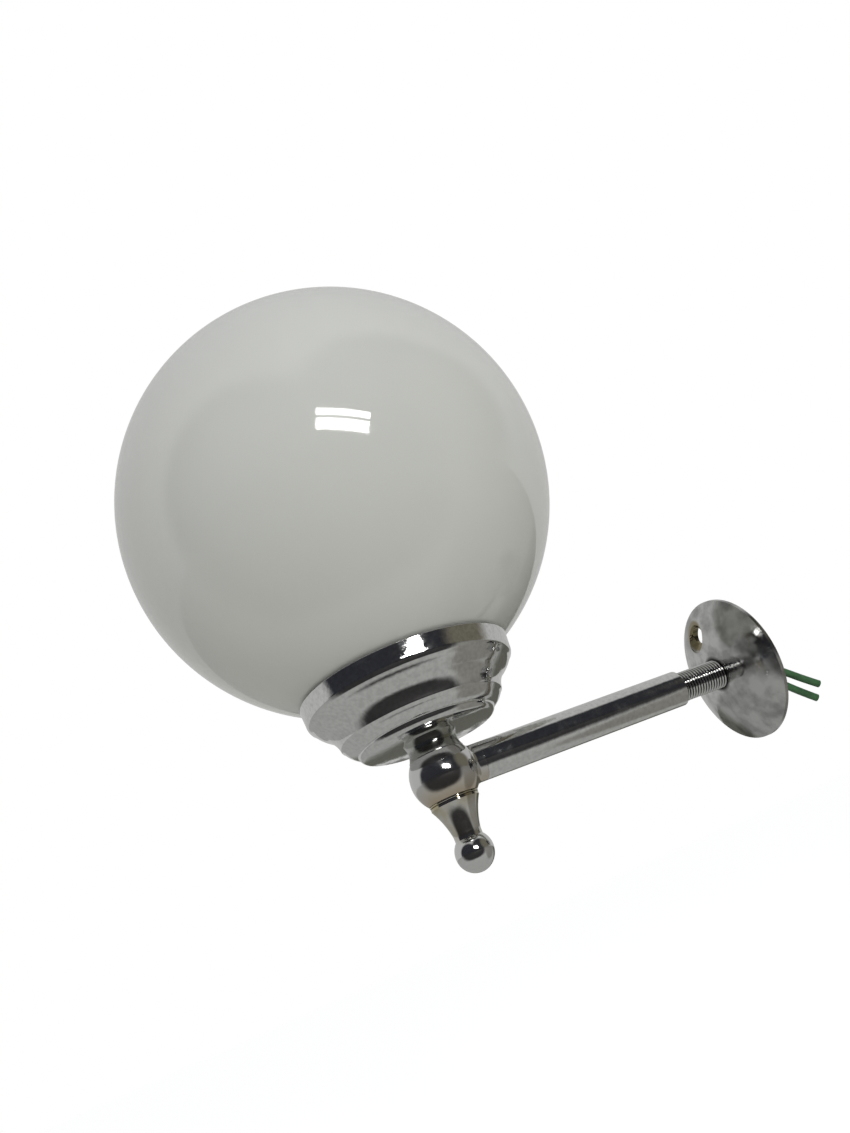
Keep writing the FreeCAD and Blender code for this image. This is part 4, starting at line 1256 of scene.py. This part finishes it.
def pale_floor(height):
    """A pale floor that keeps the light's shadow."""
    sheet = bpy.data.meshes.new("floor")
    corners = [(-FLOOR_HALF, -FLOOR_HALF), (FLOOR_HALF, -FLOOR_HALF)]
    corners += [(FLOOR_HALF, FLOOR_HALF), (-FLOOR_HALF, FLOOR_HALF)]
    sheet.from_pydata([(x, y, height) for x, y in corners], [], [(0, 1, 2, 3)])
    floor = bpy.data.objects.new("floor", sheet)

    material, shader = matt_material("Pale floor")
    shader.inputs["Roughness"].default_value = 0.9
    tree = material.node_tree
    rays = tree.nodes.new("ShaderNodeLightPath")
    tone = tree.nodes.new("ShaderNodeMix")
    tone.data_type = "RGBA"
    tone.inputs[FIRST_COLOUR].default_value = (*FLOOR_BOUNCE, 1.0)
    tone.inputs[SECOND_COLOUR].default_value = (*FLOOR_SEEN, 1.0)
    tree.links.new(rays.outputs["Is Camera Ray"], tone.inputs["Factor"])
    tree.links.new(tone.outputs[MIXED_COLOUR], shader.inputs["Base Color"])
    glow = tree.nodes.new("ShaderNodeMath")
    glow.operation = "MULTIPLY"
    glow.inputs[1].default_value = FLOOR_GLOW
    tree.links.new(rays.outputs["Is Camera Ray"], glow.inputs[0])
    shader.inputs["Emission Color"].default_value = (1.0, 1.0, 1.0, 1.0)
    tree.links.new(glow.outputs[0], shader.inputs["Emission Strength"])

    sheet.materials.append(material)
    bpy.context.scene.collection.objects.link(floor)


# What the floor looks like in the shine: first and last azimuth in degrees, the radius
# where the tone starts, in metres, and the tone itself.
FLOOR_TONES = (
    (-96, 52, 0.098, (0.05, 0.048, 0.048)),
    (47, 112, 0.08, (0.36, 0.35, 0.32)),
    (112, 184, 0.21, (0.20, 0.20, 0.17)),
)
FLOOR_NEAR = (0.60, 0.60, 0.58)
FLOOR_SOFT = (0.82, 1.14)

# The rings of the mirrored floor, in metres, and the degrees between its points: close
# together under the light, where a tone starts, and wide apart far off.
SHINE_RADII = [0.0] + [0.03 + 0.01 * step for step in range(28)] + [0.4, 0.7, 1.5, 5.9]
SHINE_TURNS = range(0, 360, 3)


def eased(value, start, end):
    """0 before start, 1 after end, and smooth between them."""
    share = min(1.0, max(0.0, (value - start) / (end - start)))
    return share * share * (3 - 2 * share)


def floor_tone(azimuth, radius):
    """The mirrored floor's tone at an azimuth in degrees and a radius in metres."""
    tone = Vector(FLOOR_NEAR)
    for first, last, start, colour in FLOOR_TONES:
        middle, half = (first + last) / 2, (last - first) / 2
        away = abs((azimuth - middle + 180) % 360 - 180) / half
        share = 1 - eased(math.hypot(away, start / max(radius, 0.001)), *FLOOR_SOFT)
        tone = tone.lerp(Vector(colour), share)
    return (*tone, 1.0)


def shine_floor(height):
    """A disc of tones that stands for the room's floor in the shine, and nowhere else."""
    work = bmesh.new()
    layer = work.verts.layers.float_color.new("Tone")
    rings = []
    for radius in SHINE_RADII:
        ring = []
        for turn in SHINE_TURNS:
            angle = math.radians(turn)
            vertex = work.verts.new((
                radius * math.cos(angle), radius * math.sin(angle) - ARM_REACH * MM, height,
            ))
            vertex[layer] = floor_tone(turn, radius)
            ring.append(vertex)
        rings.append(ring)
    for inner, outer in zip(rings, rings[1:]):
        for step, vertex in enumerate(inner):
            after = (step + 1) % len(SHINE_TURNS)
            work.faces.new((vertex, outer[step], outer[after], inner[after]))
    sheet = bpy.data.meshes.new("shine_floor")
    work.to_mesh(sheet)
    work.free()
    piece = bpy.data.objects.new("shine_floor", sheet)

    material, shader = matt_material("Floor in the shine")
    shader.inputs["Roughness"].default_value = 1.0
    tones = material.node_tree.nodes.new("ShaderNodeAttribute")
    tones.attribute_name = "Tone"
    material.node_tree.links.new(tones.outputs["Color"], shader.inputs["Base Color"])

    sheet.materials.append(material)
    piece.visible_camera = False
    piece.visible_diffuse = False
    piece.visible_transmission = False
    piece.visible_volume_scatter = False
    piece.visible_shadow = False
    bpy.context.scene.collection.objects.link(piece)


# The window: where it stands and what it faces, its width, and the name, the height of
# the middle and the height of each pane, in metres.
WINDOW_PLACE = (0.97, -0.09, 0.245)
WINDOW_AIM = (0.0, -ARM_REACH * MM, 0.07)
WINDOW_COLOUR = (1.0, 1.0, 0.98)
WINDOW_WIDTH = 0.40
WINDOW_PANES = (
    ("Upper pane", 0.076, 0.056),
    ("Lower pane", -0.027, 0.100),
)


def lighted_window(power, roll):
    """A window of two panes, which share its power by their size."""
    place = Vector(WINDOW_PLACE)
    turn = (Vector(WINDOW_AIM) - place).to_track_quat("-Z", "Y").to_matrix().to_4x4()
    turn = turn @ Matrix.Rotation(roll, 4, "Z")
    total = sum(height for _, _, height in WINDOW_PANES)
    for name, middle, height in WINDOW_PANES:
        pane = bpy.data.lights.new(name, "AREA")
        pane.shape = "RECTANGLE"
        pane.size = WINDOW_WIDTH
        pane.size_y = height
        pane.energy = power * height / total
        pane.color = WINDOW_COLOUR
        window = bpy.data.objects.new(name, pane)
        window.matrix_world = Matrix.Translation(place) @ turn @ Matrix.Translation((0, middle, 0))
        bpy.context.scene.collection.objects.link(window)


class SetStage(Operator):
    """Set the pale floor, the soft room and the window light"""

    bl_idname = "wall_light.stage"
    bl_label = "Set the Stage"

    def execute(self, context):
        studio = context.scene.wall_light_studio
        context.scene.view_settings.view_transform = "Standard"
        pale_floor(studio.floor_height)
        shine_floor(studio.shine_height)
        context.scene.world = soft_room(studio.ambient)
        lighted_window(studio.window, studio.window_turn)
        return {"FINISHED"}


STEPS = (
    PlaceCamera, MakeWires, MakeGlobe, MakeCup, MakeElbow, MakeArm, MakePlate,
    MakeSprings, FinishInside, SetStage,
)


class WallLightPanel(Panel):
    """Lists the steps that make the wall light"""

    bl_idname = "VIEW3D_PT_wall_light"
    bl_label = "Wall Light"
    bl_space_type = "VIEW_3D"
    bl_region_type = "UI"
    bl_category = "Wall Light"

    def draw(self, context):
        layout = self.layout
        for step in STEPS:
            layout.operator(step.bl_idname)
        for attribute, group in PROPERTY_GROUPS:
            box = layout.box()
            settings = getattr(context.scene, attribute)
            for key in group.__annotations__:
                box.prop(settings, key)


def register():
    """Registers the settings, the steps and the panel."""
    for attribute, group in PROPERTY_GROUPS:
        bpy.utils.register_class(group)
        setattr(bpy.types.Scene, attribute, PointerProperty(type=group))
    for step in STEPS:
        bpy.utils.register_class(step)
    bpy.utils.register_class(WallLightPanel)


def unregister():
    """Takes everything out again."""
    bpy.utils.unregister_class(WallLightPanel)
    for step in reversed(STEPS):
        bpy.utils.unregister_class(step)
    for attribute, group in reversed(PROPERTY_GROUPS):
        delattr(bpy.types.Scene, attribute)
        bpy.utils.unregister_class(group)


def main():
    """Makes the wall light, step by step."""
    register()
    for step in STEPS:
        area, name = step.bl_idname.split(".")
        getattr(getattr(bpy.ops, area), name)()


if __name__ == "__main__":
    main()
